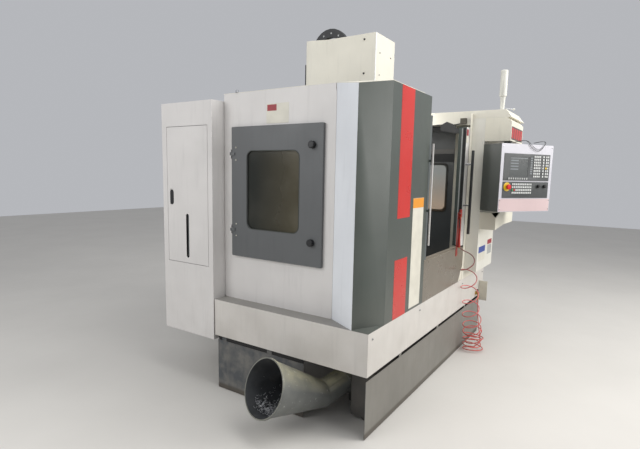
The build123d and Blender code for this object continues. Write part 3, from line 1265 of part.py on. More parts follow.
def make_spindle_motor():
    half = SPINDLE_MOTOR_HALF
    core = half - FIN_DEEP
    motor = block(-half, half, SPINDLE_Y - half, SPINDLE_Y + half, HEAD_TOP, SPINDLE_MOTOR_TOP)
    motor = chamfer(motor.edges().filter_by(Axis.Z), SPINDLE_MOTOR_CHAMFER)
    for row in range(FIN_GROOVES):
        z0 = HEAD_TOP + FIN_START + row * FIN_PITCH
        z1 = z0 + FIN_GROOVE
        groove = block(-half - 1, half + 1, SPINDLE_Y - half - 1, SPINDLE_Y + half + 1, z0, z1)
        motor -= groove - block(-core, core, SPINDLE_Y - core, SPINDLE_Y + core, z0, z1)
    return motor


def cover_outline(inset, flared):
    front = back(COVER_FRONT_DEPTH) + inset
    half = COVER_HALF_W - inset
    left = [(-half, front), (-half, back(COVER_REAR_DEPTH) + inset)]
    if flared:
        wide = COVER_WIDE_HALF_W - inset
        left = [(-half, front), (-half, back(COVER_FLARE_DEPTH)), (-wide, back(COVER_WIDE_DEPTH)),
                (-wide, back(COVER_WIDE_REAR) + inset)]
    return left + [(-x, y) for x, y in reversed(left)]


def make_head_cover():
    # Both outlines run past the rear edge when they are inset, so the cover stays open behind.
    cover = prism(cover_outline(0.0, False), COVER_LOW, COVER_FLARE_LOW)
    cover += prism(cover_outline(0.0, True), COVER_FLARE_LOW, COVER_TOP)
    cover -= prism(cover_outline(SHEET, False), COVER_LOW - 1, COVER_FLARE_LOW + SHEET)
    cover -= prism(cover_outline(SHEET, True), COVER_FLARE_LOW + SHEET, COVER_TOP - SHEET)
    roof_gap = prism(cover_outline(SHEET, True), COVER_TOP - 2 * SHEET, COVER_TOP + 1)
    cover -= roof_gap & block(-COVER_WIDE_HALF_W, COVER_WIDE_HALF_W, COVER_ROOF_REAR,
                              back(COVER_WIDE_REAR) + 2 * SHEET, COVER_TOP - 2 * SHEET, COVER_TOP + 1)
    for side in (-1, 1):
        for z in (HEAD_LOW + 3 * STANDOFF, HEAD_TOP - 2 * STANDOFF):
            for y in (HEAD_FRONT_Y + 2 * STANDOFF, HEAD_NECK_FRONT - 2 * STANDOFF):
                cover += block(side * (HEAD_HALF_W + FIT), side * (COVER_HALF_W - SHEET + 1), y,
                               y + STANDOFF, z, z + STANDOFF)
    return cover


def make_drag_chain():
    links = []
    x0 = CHAIN_X - CHAIN_WIDTH / 2
    x1 = CHAIN_X + CHAIN_WIDTH / 2
    middle = (CHAIN_OUTER_R + CHAIN_INNER_R) / 2
    thick = CHAIN_OUTER_R - CHAIN_INNER_R
    for strand, low in ((-1, CHAIN_FRONT_LOW), (1, CHAIN_REAR_LOW)):
        y = CHAIN_Y + strand * middle
        count = int((CHAIN_Z - low) / CHAIN_LINK)
        pitch = (CHAIN_Z - low) / count
        for i in range(count):
            z0 = low + i * pitch
            link = block(x0, x1, y - thick / 2, y + thick / 2, z0, z0 + pitch - CHAIN_LINK_GAP)
            link -= block(x0 + CHAIN_WALL, x1 - CHAIN_WALL, y - thick / 2 + CHAIN_WALL,
                          y + thick / 2 - CHAIN_WALL, z0 - 1, z0 + pitch)
            links.append(link)
    step = 180.0 / CHAIN_LINKS_ROUND
    for i in range(CHAIN_LINKS_ROUND):
        centre = radians((i + 0.5) * step)
        half = radians(step / 2) - CHAIN_LINK_GAP / (2 * middle)
        ring = []
        for radius, order in ((CHAIN_INNER_R, (-half, half)), (CHAIN_OUTER_R, (half, -half))):
            for shift in order:
                angle = centre + shift
                ring.append((CHAIN_Y + radius * cos(angle), CHAIN_Z + radius * sin(angle)))
        face = Plane.YZ * make_face(Polyline(*ring, close=True))
        links.append(Pos(x0, 0, 0) * extrude(face, x1 - x0, dir=(1, 0, 0)))
    arm = block(x0, x1, CHAIN_Y + CHAIN_INNER_R, COLUMN_FRONT_Y + MOTOR_HALF, COLUMN_TOP + FIT,
                CHAIN_REAR_LOW - CHAIN_LINK_GAP)
    links.append(arm)
    return links


# Operator pendant

def make_pendant_pillar():
    y0 = back(PILLAR_FRONT)
    y1 = FRONT_Y - FIT
    pillar = block(PILLAR_LEFT_X, PILLAR_RIGHT_X, y0, y1, PILLAR_LOW, CAP_LOW)
    pillar -= block(PILLAR_LEFT_X + SHEET, PILLAR_RIGHT_X - SHEET, y0 + SHEET, y1 + 1,
                    PILLAR_LOW + SHEET, CAP_LOW - SHEET)
    return pillar


def make_pendant_arm():
    y0 = back(ARM_FRONT)
    y1 = back(PILLAR_FRONT) - FIT
    arm = block(PILLAR_LEFT_X, ARM_RIGHT_X, y0, y1, ARM_LOW, CAP_LOW - FIT)
    edge = arm.edges().filter_by(Axis.X).group_by(Axis.Y)[0].sort_by(Axis.Z)[-1]
    arm = chamfer(edge, ARM_CHAMFER)
    inner = block(PILLAR_LEFT_X + SHEET, ARM_RIGHT_X - SHEET, y0 + SHEET + ARM_CHAMFER, y1 + 1,
                  ARM_LOW + 2 * SHEET, CAP_LOW - 2 * SHEET)
    arm -= inner
    return arm - rod_z(PIVOT_X, back(PIVOT_DEPTH), ARM_LOW - 1, ARM_LOW + 3 * ARM_CHAMFER,
                       PIVOT_R + BEARING_FIT)


def bracket_outline(inset, top):
    left = PILLAR_LEFT_X + inset
    right = BRACKET_RIGHT_X - inset
    low = BRACKET_LOW + inset
    return Plane.XZ * make_face(Polyline((left, low), (BRACKET_KNEE_X, low + BRACKET_RISE),
                                         (right, low + BRACKET_RISE), (right, top), (left, top),
                                         close=True))


def make_pendant_bracket():
    y0 = back(BRACKET_FRONT)
    y1 = back(PILLAR_FRONT) - FIT
    tray = Pos(0, y0, 0) * extrude(bracket_outline(0.0, BRACKET_TOP), y1 - y0, dir=(0, 1, 0))
    tray -= Pos(0, y0 + SHEET, 0) * extrude(bracket_outline(SHEET, BRACKET_TOP - SHEET),
                                            y1 - y0 - 2 * SHEET, dir=(0, 1, 0))
    notch = slope_face([(PILLAR_LEFT_X, y0 + BRACKET_NOTCH_SIDE, BRACKET_TOP),
                        (PILLAR_LEFT_X, y0, BRACKET_TOP - BRACKET_NOTCH_DROP),
                        (PILLAR_LEFT_X + BRACKET_NOTCH_FRONT, y0, BRACKET_TOP)], 0.3)
    return tray - extrude(notch, 2 * BRACKET_NOTCH_DROP, dir=(0, 0, 1))


def pendant_place():
    return Pos(PIVOT_X, back(PIVOT_DEPTH), 0) * Rot(0, 0, -PENDANT_TURN)


def in_pendant(shape):
    return pendant_place() * shape


def make_pendant_box():
    x0 = PENDANT_LEFT
    x1 = PENDANT_LEFT + PENDANT_WIDTH
    y1 = -PENDANT_REAR
    y0 = y1 - PENDANT_THICK + FACE_THICK
    box = block(x0, x1, y0, y1, PENDANT_LOW, PENDANT_TOP)
    box = fillet(box.edges().filter_by(Axis.Z).group_by(Axis.Y)[-1], PENDANT_REAR_EDGE_R)
    box -= block(x0 + SHEET, x1 - SHEET, y0 - 1, y1 - SHEET, PENDANT_LOW + SHEET, PENDANT_TOP - SHEET)
    box += rod_z(0, 0, PENDANT_TOP - SHEET, ARM_LOW - FIT, PIVOT_COLLAR_R)
    box += rod_z(0, 0, PENDANT_TOP, ARM_LOW + 2 * ARM_CHAMFER, PIVOT_R)
    return in_pendant(box)


def face_y():
    return -PENDANT_REAR - PENDANT_THICK


def make_control_face():
    x0 = PENDANT_LEFT
    x1 = PENDANT_LEFT + PENDANT_WIDTH
    plate = block(x0, x1, face_y(), face_y() + FACE_THICK, PENDANT_LOW, PENDANT_TOP)
    plate = fillet(plate.edges().filter_by(Axis.Y), FACE_CORNER_R)
    stop_x, stop_z = stop_place()
    plate -= rod_y(stop_x, face_y() - 1, face_y() + FACE_THICK + 1, stop_z, STOP_STEM_R + BEARING_FIT)
    for x in knob_places():
        plate -= rod_y(x, face_y() - 1, face_y() + FACE_THICK + 1, knob_z(), OVERRIDE_STEM_R + BEARING_FIT)
    return in_pendant(plate)


def stop_place():
    return PENDANT_LEFT + UNIT_MARGIN + STOP_IN, PANEL_HIGH - STOP_DROP


def knob_z():
    return PANEL_HIGH - OVERRIDE_DROP


def knob_places():
    right = PENDANT_LEFT + PENDANT_WIDTH - UNIT_MARGIN
    return [right - inset for inset in OVERRIDE_IN]


def make_control_unit():
    x0 = PENDANT_LEFT + UNIT_MARGIN
    x1 = PENDANT_LEFT + PENDANT_WIDTH - UNIT_MARGIN
    y1 = face_y()
    y0 = y1 - UNIT_THICK
    upper = block(x0, x1, y0, y1, UNIT_LOW, UNIT_HIGH)
    sx0 = x0 + SCREEN_LEFT
    upper -= block(sx0, sx0 + SCREEN_WIDTH, y0 - 1, y0 + UNIT_THICK / 2, SCREEN_LOW,
                   SCREEN_LOW + SCREEN_HEIGHT)
    lower = block(x0, x1, y0, y1, PANEL_LOW, PANEL_HIGH)
    stop_x, stop_z = stop_place()
    lower -= rod_y(stop_x, y0 - 1, y1 + 1, stop_z, STOP_STEM_R + BEARING_FIT)
    for x in knob_places():
        lower -= rod_y(x, y0 - 1, y1 + 1, knob_z(), OVERRIDE_STEM_R + BEARING_FIT)
    for column in range(KEY_COLUMNS):
        x = x1 - KEY_EDGE - (column + 1) * KEY_PITCH - (KEY_GROUP_GAP if column >= KEY_GROUP else 0)
        for row in range(KEY_ROWS):
            z = UNIT_HIGH - KEY_EDGE - row * KEY_DROP
            upper += block(x, x + KEY, y0 - KEY_THICK, y0 + 1, z - KEY, z)
    for column in range(SOFT_KEYS):
        x = x0 + SOFT_KEY_IN + column * SOFT_KEY_PITCH
        z = UNIT_LOW + SOFT_KEY_UP
        upper += block(x, x + KEY, y0 - KEY_THICK, y0 + 1, z, z + KEY)
    for column in range(PANEL_KEY_COLUMNS):
        x = x0 + PANEL_KEY_IN + column * KEY_PITCH
        for row in range(PANEL_KEY_ROWS):
            z = PANEL_HIGH - KEY_EDGE - row * KEY_DROP
            lower += block(x, x + KEY, y0 - KEY_THICK, y0 + 1, z - KEY, z)
    return [in_pendant(upper), in_pendant(lower)]


def make_emergency_stop():
    x, z = stop_place()
    y = face_y() - UNIT_THICK
    button = rod_y(x, y - STOP_OUT, y - STOP_OUT + STOP_CAP, z, STOP_R)
    button = fillet(button.edges().sort_by(Axis.Y)[0], STOP_EDGE_R)
    button += rod_y(x, y - STOP_OUT + STOP_CAP - 1, y + STOP_STEM_IN, z, STOP_STEM_R)
    return in_pendant(button)


def make_override_knob(index):
    x = knob_places()[index]
    y = face_y() - UNIT_THICK
    knob = rod_y(x, y - OVERRIDE_OUT, y - FIT, knob_z(), OVERRIDE_R)
    knob = chamfer(knob.edges().sort_by(Axis.Y)[0], OVERRIDE_MARK / 2)
    knob += block(x - OVERRIDE_MARK / 2, x + OVERRIDE_MARK / 2, y - OVERRIDE_OUT - OVERRIDE_MARK / 2,
                  y - OVERRIDE_OUT + 1, knob_z(), knob_z() + OVERRIDE_R - OVERRIDE_MARK)
    knob += rod_y(x, y - 1, y + OVERRIDE_STEM_IN, knob_z(), OVERRIDE_STEM_R)
    return in_pendant(knob)


def make_signal_tower():
    y = back(TOWER_DEPTH)
    tower = rod_z(TOWER_X, y, ROOF_RIM_TOP, ROOF_RIM_TOP + TOWER_BASE_HEIGHT, TOWER_BASE_R)
    tower += cone_z(TOWER_X, y, ROOF_RIM_TOP, TOWER_STEM_TOP, TOWER_FOOT_R, TOWER_NECK_R)
    tower += rod_z(TOWER_X, y, TOWER_STEM_TOP, TOWER_TOP, TOWER_R)
    return fillet(tower.edges().sort_by(Axis.Z)[-1], TOWER_EDGE_R)


# Air gun, coupler and hose

def make_air_gun():
    y = back(GUN_DEPTH)
    plate_y = FRONT_Y - FIT
    gun = rod_z(GUN_X, y, GUN_TOP - GUN_HEAD, GUN_TOP, GUN_R)
    gun += rod_z(GUN_X, y, GUN_LOW + GUN_GRIP / 2, GUN_TOP - GUN_HEAD + 1, GUN_NECK_R)
    gun += cone_z(GUN_X, y, GUN_LOW, GUN_LOW + GUN_GRIP, GUN_FOOT_R, GUN_NECK_R)
    gun += block(GUN_X - HOLDER_HALF_W, GUN_X + HOLDER_HALF_W, plate_y - SHEET, plate_y,
                 HOLDER_LOW, HOLDER_TOP)
    hook_z = HOLDER_TOP - 2 * HOOK_THICK
    gun += block(GUN_X - HOOK_THICK, GUN_X + HOOK_THICK, y, plate_y - 1, hook_z, hook_z + HOOK_THICK)
    lug = block(GUN_X - LEVER_OUT - HOOK_THICK, GUN_X, y - HOOK_THICK, y + HOOK_THICK,
                LEVER_PIN_Z - HOOK_THICK, LEVER_TOP + HOOK_THICK)
    lug -= block(GUN_X - 2 * LEVER_OUT, GUN_X - GUN_R, y - LEVER_HALF - FIT, y + LEVER_HALF + FIT,
                 LEVER_PIN_Z - 2 * HOOK_THICK, LEVER_TOP + SHEET)
    return gun + lug - rod_y(GUN_X - LEVER_OUT, y - 2 * HOOK_THICK, y + 2 * HOOK_THICK, LEVER_PIN_Z,
                             LEVER_PIN_R + BEARING_FIT)


def make_gun_trigger():
    y = back(GUN_DEPTH)
    x = GUN_X - LEVER_OUT
    lever = block(x - LEVER_HALF, x + LEVER_HALF, y - LEVER_HALF, y + LEVER_HALF, LEVER_LOW, LEVER_TOP)
    return lever + rod_y(x, y - HOOK_THICK, y + HOOK_THICK, LEVER_PIN_Z, LEVER_PIN_R)


def make_air_coupler():
    y = FRONT_Y - COUPLER_OUT + COUPLER_FLANGE_R / 2
    coupler = rod_y(COUPLER_X, FRONT_Y - COUPLER_OUT, FRONT_Y - FIT, COUPLER_Z, COUPLER_R)
    coupler += rod_y(COUPLER_X, FRONT_Y - COUPLER_R, FRONT_Y - FIT, COUPLER_Z, COUPLER_FLANGE_R)
    return coupler + rod_z(COUPLER_X, y, COUPLER_Z - COUPLER_DROP, COUPLER_Z, COUPLER_R * 0.8)


def from_front(point):
    x, y, z = point
    return Vector(x, FRONT_Y + y, z)


def make_recoil_hose():
    # The spiral stands for its outer shape, on a slant from the gun to the heap.
    foot = from_front(COIL_FOOT)
    run = from_front(COIL_TOP) - foot
    slant = Plane(origin=foot, z_dir=run) * Pos(0, 0, run.length / 2)
    spiral = slant * Cone(COIL_FOOT_R, COIL_TOP_R, run.length)
    return spiral - rod_z(foot.X, foot.Y, 0, HEAP_HEIGHT + FIT, 2 * HEAP_R)


def make_hose_heap():
    foot = from_front(COIL_FOOT)
    return rod_z(foot.X, foot.Y, 0, HEAP_HEIGHT, HEAP_R)


def bend_radii(points):
    radii = []
    for before, here, after in zip(points, points[1:], points[2:]):
        turn = (here - before).get_angle(after - here)
        shorter = min((here - before).length, (after - here).length)
        radii.append(0.45 * shorter / tan(radians(turn / 2)))
    return radii


def make_hose_tail():
    points = [from_front(p) for p in TAIL_ROUTE]
    path = FilletPolyline(*points, radius=bend_radii(points))
    section = Plane(origin=path @ 0, z_dir=path % 0) * Circle(HOSE_R)
    return sweep(section, path=path)


PIECES = {
    "base_casting": make_base_casting, "levelling_feet": make_levelling_feet,
    "column_casting": make_column_casting, "guide_rails": make_guide_rails,
    "servo_motors": make_servo_motors, "lower_enclosure": make_lower_enclosure,
    "chip_spout": make_chip_spout, "auger_trough": make_auger_trough, "auger": make_auger,
    "base_panels": make_base_panels, "coolant_tank": make_coolant_tank,
    "front_left_cover": make_front_left_cover, "front_right_cover": make_front_right_cover,
    "left_corner_bevel": make_left_corner_bevel,
    "left_side_panel": make_left_side_panel, "right_side_panel": make_right_side_panel,
    "right_window_pane": make_right_window_pane, "rear_wall": make_rear_wall,
    "roof_panels": make_roof_panels, "front_apron": make_front_apron,
    "left_door": lambda: make_door(-1), "right_door": lambda: make_door(1),
    "left_door_pane": lambda: make_door_pane(-1), "right_door_pane": lambda: make_door_pane(1),
    "left_door_handle": lambda: make_door_handle(-1),
    "right_door_handle": lambda: make_door_handle(1),
    "side_window_panel": make_side_window_panel, "side_window_pane": make_side_window_pane,
    "lower_window_knob": lambda: make_window_knob(KNOB_ZS[0]),
    "upper_window_knob": lambda: make_window_knob(KNOB_ZS[1]),
    "service_cabinet": make_service_cabinet, "service_door": make_service_door,
    "electric_cabinet": make_electric_cabinet, "electric_door": make_electric_door,
    "saddle": make_saddle, "table": make_table, "x_screw": make_x_screw,
    "y_screw": make_y_screw, "z_screw": make_z_screw, "head_casting": make_head_casting,
    "spindle": make_spindle, "spindle_motor": make_spindle_motor, "head_cover": make_head_cover,
    "drag_chain": make_drag_chain, "pendant_pillar": make_pendant_pillar,
    "pendant_arm": make_pendant_arm, "pendant_bracket": make_pendant_bracket,
    "pendant_box": make_pendant_box, "control_face": make_control_face,
    "control_unit": make_control_unit, "emergency_stop": make_emergency_stop,
    "feed_knob": lambda: make_override_knob(0), "rapid_knob": lambda: make_override_knob(1),
    "signal_tower": make_signal_tower, "air_gun": make_air_gun, "gun_trigger": make_gun_trigger,
    "air_coupler": make_air_coupler, "recoil_hose": make_recoil_hose, "hose_heap": make_hose_heap,
    "hose_tail": make_hose_tail,
}

os.makedirs("parts", exist_ok=True)
for name, make in PIECES.items():
    shape = make()
    if isinstance(shape, list):
        shape = Compound(children=shape)
    export_step(shape, "parts/" + name + ".step")
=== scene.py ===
import json
import math
import random
import bmesh
import bpy
from mathutils import Matrix, Vector

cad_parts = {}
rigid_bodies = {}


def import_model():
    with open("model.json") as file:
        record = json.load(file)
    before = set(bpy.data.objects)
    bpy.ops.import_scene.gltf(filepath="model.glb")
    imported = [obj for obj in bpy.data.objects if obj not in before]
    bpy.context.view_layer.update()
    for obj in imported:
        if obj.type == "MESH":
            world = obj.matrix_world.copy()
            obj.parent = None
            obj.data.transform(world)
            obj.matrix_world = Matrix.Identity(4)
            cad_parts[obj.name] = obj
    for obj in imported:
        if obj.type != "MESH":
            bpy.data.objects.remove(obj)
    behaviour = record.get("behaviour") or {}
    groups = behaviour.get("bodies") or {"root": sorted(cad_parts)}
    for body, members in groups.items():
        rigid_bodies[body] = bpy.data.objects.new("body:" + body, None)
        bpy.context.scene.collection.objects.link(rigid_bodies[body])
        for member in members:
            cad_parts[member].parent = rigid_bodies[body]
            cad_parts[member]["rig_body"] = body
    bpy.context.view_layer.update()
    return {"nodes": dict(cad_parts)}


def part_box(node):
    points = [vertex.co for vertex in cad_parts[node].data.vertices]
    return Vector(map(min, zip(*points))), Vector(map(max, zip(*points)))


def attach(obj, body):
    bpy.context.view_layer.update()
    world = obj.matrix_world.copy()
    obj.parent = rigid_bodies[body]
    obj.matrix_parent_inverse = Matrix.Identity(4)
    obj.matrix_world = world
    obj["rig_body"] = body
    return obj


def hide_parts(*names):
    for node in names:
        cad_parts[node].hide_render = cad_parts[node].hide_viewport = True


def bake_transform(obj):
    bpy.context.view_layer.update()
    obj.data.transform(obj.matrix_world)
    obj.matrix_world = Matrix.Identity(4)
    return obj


# The machine's look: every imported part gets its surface, and the small trim is added here.
# Sizes and places are in millimetres unless a comment says metres.

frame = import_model()
random.seed(7)

MM = 0.001
FRONT = -1020.0
ROOT = "enclosure_and_frame"

# Places that the trim shares with the parts; depths run back from the front plane
SIDE_X = 1090.0
HATCH_FACE_X = -1110.5
PENDANT_PIVOT = (660.0, -255.0)
PENDANT_TURN = 33.0
FACE_Y = -180.0
HOSE_DIAMETER = 8.0
WINDOW_CORNER_R = 42.0
DOOR_EDGE_Z = (945, 1885)

# Directions
LEFT_SIDE = (-1.0, 0.0, 0.0)
RIGHT_SIDE = (1.0, 0.0, 0.0)
FRONT_SIDE = (0.0, -1.0, 0.0)
REAR_SIDE = (0.0, 1.0, 0.0)
UPWARD = (0.0, 0.0, 1.0)


def at(x, depth, z):
    """A point in metres from its place on the machine in millimetres."""
    return Vector((x * MM, (FRONT + depth) * MM, z * MM))


def srgb(red, green, blue):
    values = []
    for v in (red, green, blue):
        c = v / 255
        values.append(c / 12.92 if c <= 0.04045 else ((c + 0.055) / 1.055) ** 2.4)
    return (*values, 1.0)


def shaded(colour, factor):
    return (colour[0] * factor, colour[1] * factor, colour[2] * factor, 1.0)


# Materials

BUMP_DEPTH = 0.0006   # metres
ROUGH_SPREAD = 0.12
MIX_A, MIX_B, MIX_RESULT = 6, 7, 2   # the colour sockets of a mix node


class Surface:
    """A procedural material: a colour built up in layers, then roughness and a fine bump."""

    def __init__(self, name):
        self.material = bpy.data.materials.new(name)
        self.material.use_nodes = True
        self.nodes = self.material.node_tree.nodes
        self.links = self.material.node_tree.links
        self.shader = self.nodes["Principled BSDF"]
        self.place = self.nodes.new("ShaderNodeTexCoord")
        self.colour = None

    def noise(self, scale, detail=4.0, stretch=None):
        texture = self.nodes.new("ShaderNodeTexNoise")
        texture.inputs["Scale"].default_value = scale
        texture.inputs["Detail"].default_value = detail
        source = self.place.outputs["Object"]
        if stretch:
            mapping = self.nodes.new("ShaderNodeMapping")
            mapping.inputs["Scale"].default_value = stretch
            self.links.new(source, mapping.inputs["Vector"])
            source = mapping.outputs["Vector"]
        self.links.new(source, texture.inputs["Vector"])
        return texture.outputs["Fac"]

    def ranged(self, value, low, high, to_low, to_high):
        node = self.nodes.new("ShaderNodeMapRange")
        node.inputs["From Min"].default_value = low
        node.inputs["From Max"].default_value = high
        node.inputs["To Min"].default_value = to_low
        node.inputs["To Max"].default_value = to_high
        self.links.new(value, node.inputs["Value"])
        return node.outputs["Result"]

    def mixed(self, first, second, share):
        node = self.nodes.new("ShaderNodeMix")
        node.data_type = "RGBA"
        for socket, value in ((node.inputs[MIX_A], first), (node.inputs[MIX_B], second)):
            if isinstance(value, tuple):
                socket.default_value = value
            else:
                self.links.new(value, socket)
        self.links.new(share, node.inputs["Factor"])
        return node.outputs[MIX_RESULT]

    def times(self, first, second):
        node = self.nodes.new("ShaderNodeMath")
        node.operation = "MULTIPLY"
        self.links.new(first, node.inputs[0])
        self.links.new(second, node.inputs[1])
        return node.outputs["Value"]

    def reading(self, axis):
        node = self.nodes.new("ShaderNodeSeparateXYZ")
        self.links.new(self.place.outputs["Object"], node.inputs["Vector"])
        return node.outputs[axis]

    def facing(self, direction):
        """How far the surface looks along a direction, from -1 to 1."""
        node = self.nodes.new("ShaderNodeVectorMath")
        node.operation = "DOT_PRODUCT"
        self.links.new(self.place.outputs["Normal"], node.inputs[0])
        node.inputs[1].default_value = direction
        return node.outputs["Value"]

    def base(self, colour, mottle=0.88, scale=3.0):
        """The main colour, with patches darkened by the mottle factor."""
        share = self.ranged(self.noise(scale), 0.35, 0.65, 0.0, 1.0)
        self.colour = self.mixed(colour, shaded(colour, mottle), share)

    def grime(self, colour, scale, low, high, strength, stretch=None):
        """A second colour where a noise lies between low and high, up to a strength."""
        share = self.ranged(self.noise(scale, 8.0, stretch), low, high, 0.0, strength)
        self.colour = self.mixed(self.colour, colour, share)

    def dust_below(self, colour, top, strength):
        """Dust that thins out from the floor up to a height in metres."""
        rise = self.ranged(self.reading("Z"), 0.0, top, strength, 0.0)
        patch = self.ranged(self.noise(6.0, 8.0), 0.3, 0.7, 0.3, 1.0)
        self.colour = self.mixed(self.colour, colour, self.times(rise, patch))

    def graded(self, colour, axis, start, end):
        """A second colour that comes in along an axis, from start to end in metres."""
        share = self.ranged(self.reading(axis), start, end, 0.0, 1.0)
        self.colour = self.mixed(self.colour, colour, share)

    def tint_facing(self, colour, direction, low, high, strength):
        """A second colour, in noise patches, on the faces that look along a direction: painted shade on the
        skirt's left side, dust and a painted highlight on the pipe's top.
        """
        share = self.ranged(self.facing(direction), low, high, 0.0, strength)
        patch = self.ranged(self.noise(14.0, 8.0), 0.35, 0.6, 0.4, 1.0)
        self.colour = self.mixed(self.colour, colour, self.times(share, patch))

    def finish(self, rough, metal=0.0, bump=0.1, bump_scale=900.0):
        self.links.new(self.colour, self.shader.inputs["Base Color"])
        low, high = rough - ROUGH_SPREAD / 2, rough + ROUGH_SPREAD / 2
        value = self.ranged(self.noise(7.0, 6.0), 0.3, 0.7, low, high)
        self.links.new(value, self.shader.inputs["Roughness"])
        self.shader.inputs["Metallic"].default_value = metal
        node = self.nodes.new("ShaderNodeBump")
        node.inputs["Strength"].default_value = bump
        node.inputs["Distance"].default_value = BUMP_DEPTH
        self.links.new(self.noise(bump_scale, 2.0), node.inputs["Height"])
        self.links.new(node.outputs["Normal"], self.shader.inputs["Normal"])
        return self.material


DUST = srgb(150, 142, 130)
OIL = srgb(70, 62, 52)
FLECKS = srgb(190, 190, 186)
PIPE_DUST_AND_HIGHLIGHT = srgb(175, 170, 140)
PANE_HAZE = srgb(205, 200, 185)
SKIRT_SHADE = srgb(72, 75, 78)
STREAKS = (6.0, 6.0, 0.6)   # noise drawn out along Z


def paint(name, colour, rough=0.42, bump=0.1, bump_scale=900.0, mottle=0.93, dusty=0.35):
    surface = Surface(name)
    surface.base(colour, mottle)
    surface.grime(OIL, 2.3, 0.62, 0.85, 0.16)
    surface.grime(shaded(colour, 0.8), 5.0, 0.55, 0.8, 0.5, STREAKS)
    surface.dust_below(DUST, 0.9, dusty)
    return surface.finish(rough, 0.0, bump, bump_scale)


def bare_metal(name, colour, rough, bump_scale=400.0, stretch=(1.0, 1.0, 1.0), mottle=0.75):
    surface = Surface(name)
    surface.base(colour, mottle, 9.0)
    surface.grime(shaded(colour, 0.55), 40.0, 0.5, 0.75, 0.5, stretch)
    surface.grime(OIL, 4.0, 0.6, 0.8, 0.4)
    return surface.finish(rough, 1.0, 0.15, bump_scale)


def casting(name, colour):
    surface = Surface(name)
    surface.base(colour, 0.8, 5.0)
    surface.grime(OIL, 6.0, 0.55, 0.75, 0.5)
    surface.dust_below(DUST, 1.0, 0.3)
    return surface.finish(0.55, 0.0, 0.5, 160.0)


def plastic(name, colour, rough=0.4, bump=0.15, bump_scale=1500.0, mottle=0.9):
    surface = Surface(name)
    surface.base(colour, mottle, 12.0)
    surface.grime(DUST, 9.0, 0.6, 0.85, 0.18)
    return surface.finish(rough, 0.0, bump, bump_scale)


def tinted_pane(name, colour, haze, far_colour=None, axis="Z", start=1.2, end=1.6, clear=0.45):
    """A tinted window with hazy dirt patches; a far colour comes in along an axis, from start to end in
    metres.
    """
    surface = Surface(name)
    surface.base(colour, 0.8, 2.0)
    if far_colour:
        surface.graded(far_colour, axis, start, end)
    surface.grime(PANE_HAZE, 3.5, 0.45, 0.8, haze)
    material = surface.finish(0.16, 0.0, 0.03, 300.0)
    surface.shader.inputs["Transmission Weight"].default_value = clear
    surface.shader.inputs["IOR"].default_value = 1.25
    return material


def dusty_highlit_pipe(name, colour):
    """Grey pipe with light flecks, beige on top: dust with a painted highlight from above."""
    surface = Surface(name)
    surface.base(colour, 0.8, 9.0)
    surface.grime(shaded(colour, 0.6), 12.0, 0.5, 0.75, 0.5)
    surface.grime(FLECKS, 60.0, 0.66, 0.72, 0.7)
    # Dust with a painted highlight: the faces that look up take a light beige.
    surface.tint_facing(PIPE_DUST_AND_HIGHLIGHT, UPWARD, 0.2, 0.9, 0.75)
    return surface.finish(0.5, 0.0, 0.3, 300.0)


def shaded_skirt_paint(name, colour):
    """Grey skirt paint, with painted shade on the faces that look left, and a painted shadow with dirt in a
    dark line along the floor.
    """
    surface = Surface(name)
    surface.base(colour, 0.88, 3.0)
    # Painted shade: the faces that look left take a darker grey.
    surface.tint_facing(SKIRT_SHADE, LEFT_SIDE, 0.5, 0.9, 1.0)
    surface.grime(shaded(colour, 0.75), 5.0, 0.5, 0.8, 0.5, STREAKS)
    # Painted shadow of the gap under the skirt, with dirt: the lowest 3 cm take the dark oil colour.
    rise = surface.ranged(surface.reading("Z"), 0.03, 0.045, 0.75, 0.0)
    surface.colour = surface.mixed(surface.colour, OIL, rise)
    return surface.finish(0.5, 0.0, 0.1, 900.0)


def aged_hose(name):
    """Red hose: dark brown at the top, dusty pink below, redder in the heap."""
    surface = Surface(name)
    surface.base(srgb(200, 82, 74), 0.85, 12.0)
    surface.graded(srgb(204, 108, 108), "Z", 0.12, 0.4)
    surface.graded(srgb(104, 52, 50), "Z", 0.6, 0.85)
    surface.grime(DUST, 20.0, 0.55, 0.8, 0.35)
    return surface.finish(0.35, 0.0, 0.05, 800.0)


def glowing(name, colour, strength):
    surface = Surface(name)
    surface.base(colour, 0.9, 30.0)
    material = surface.finish(0.3)
    surface.shader.inputs["Emission Color"].default_value = colour
    surface.shader.inputs["Emission Strength"].default_value = strength
    return material


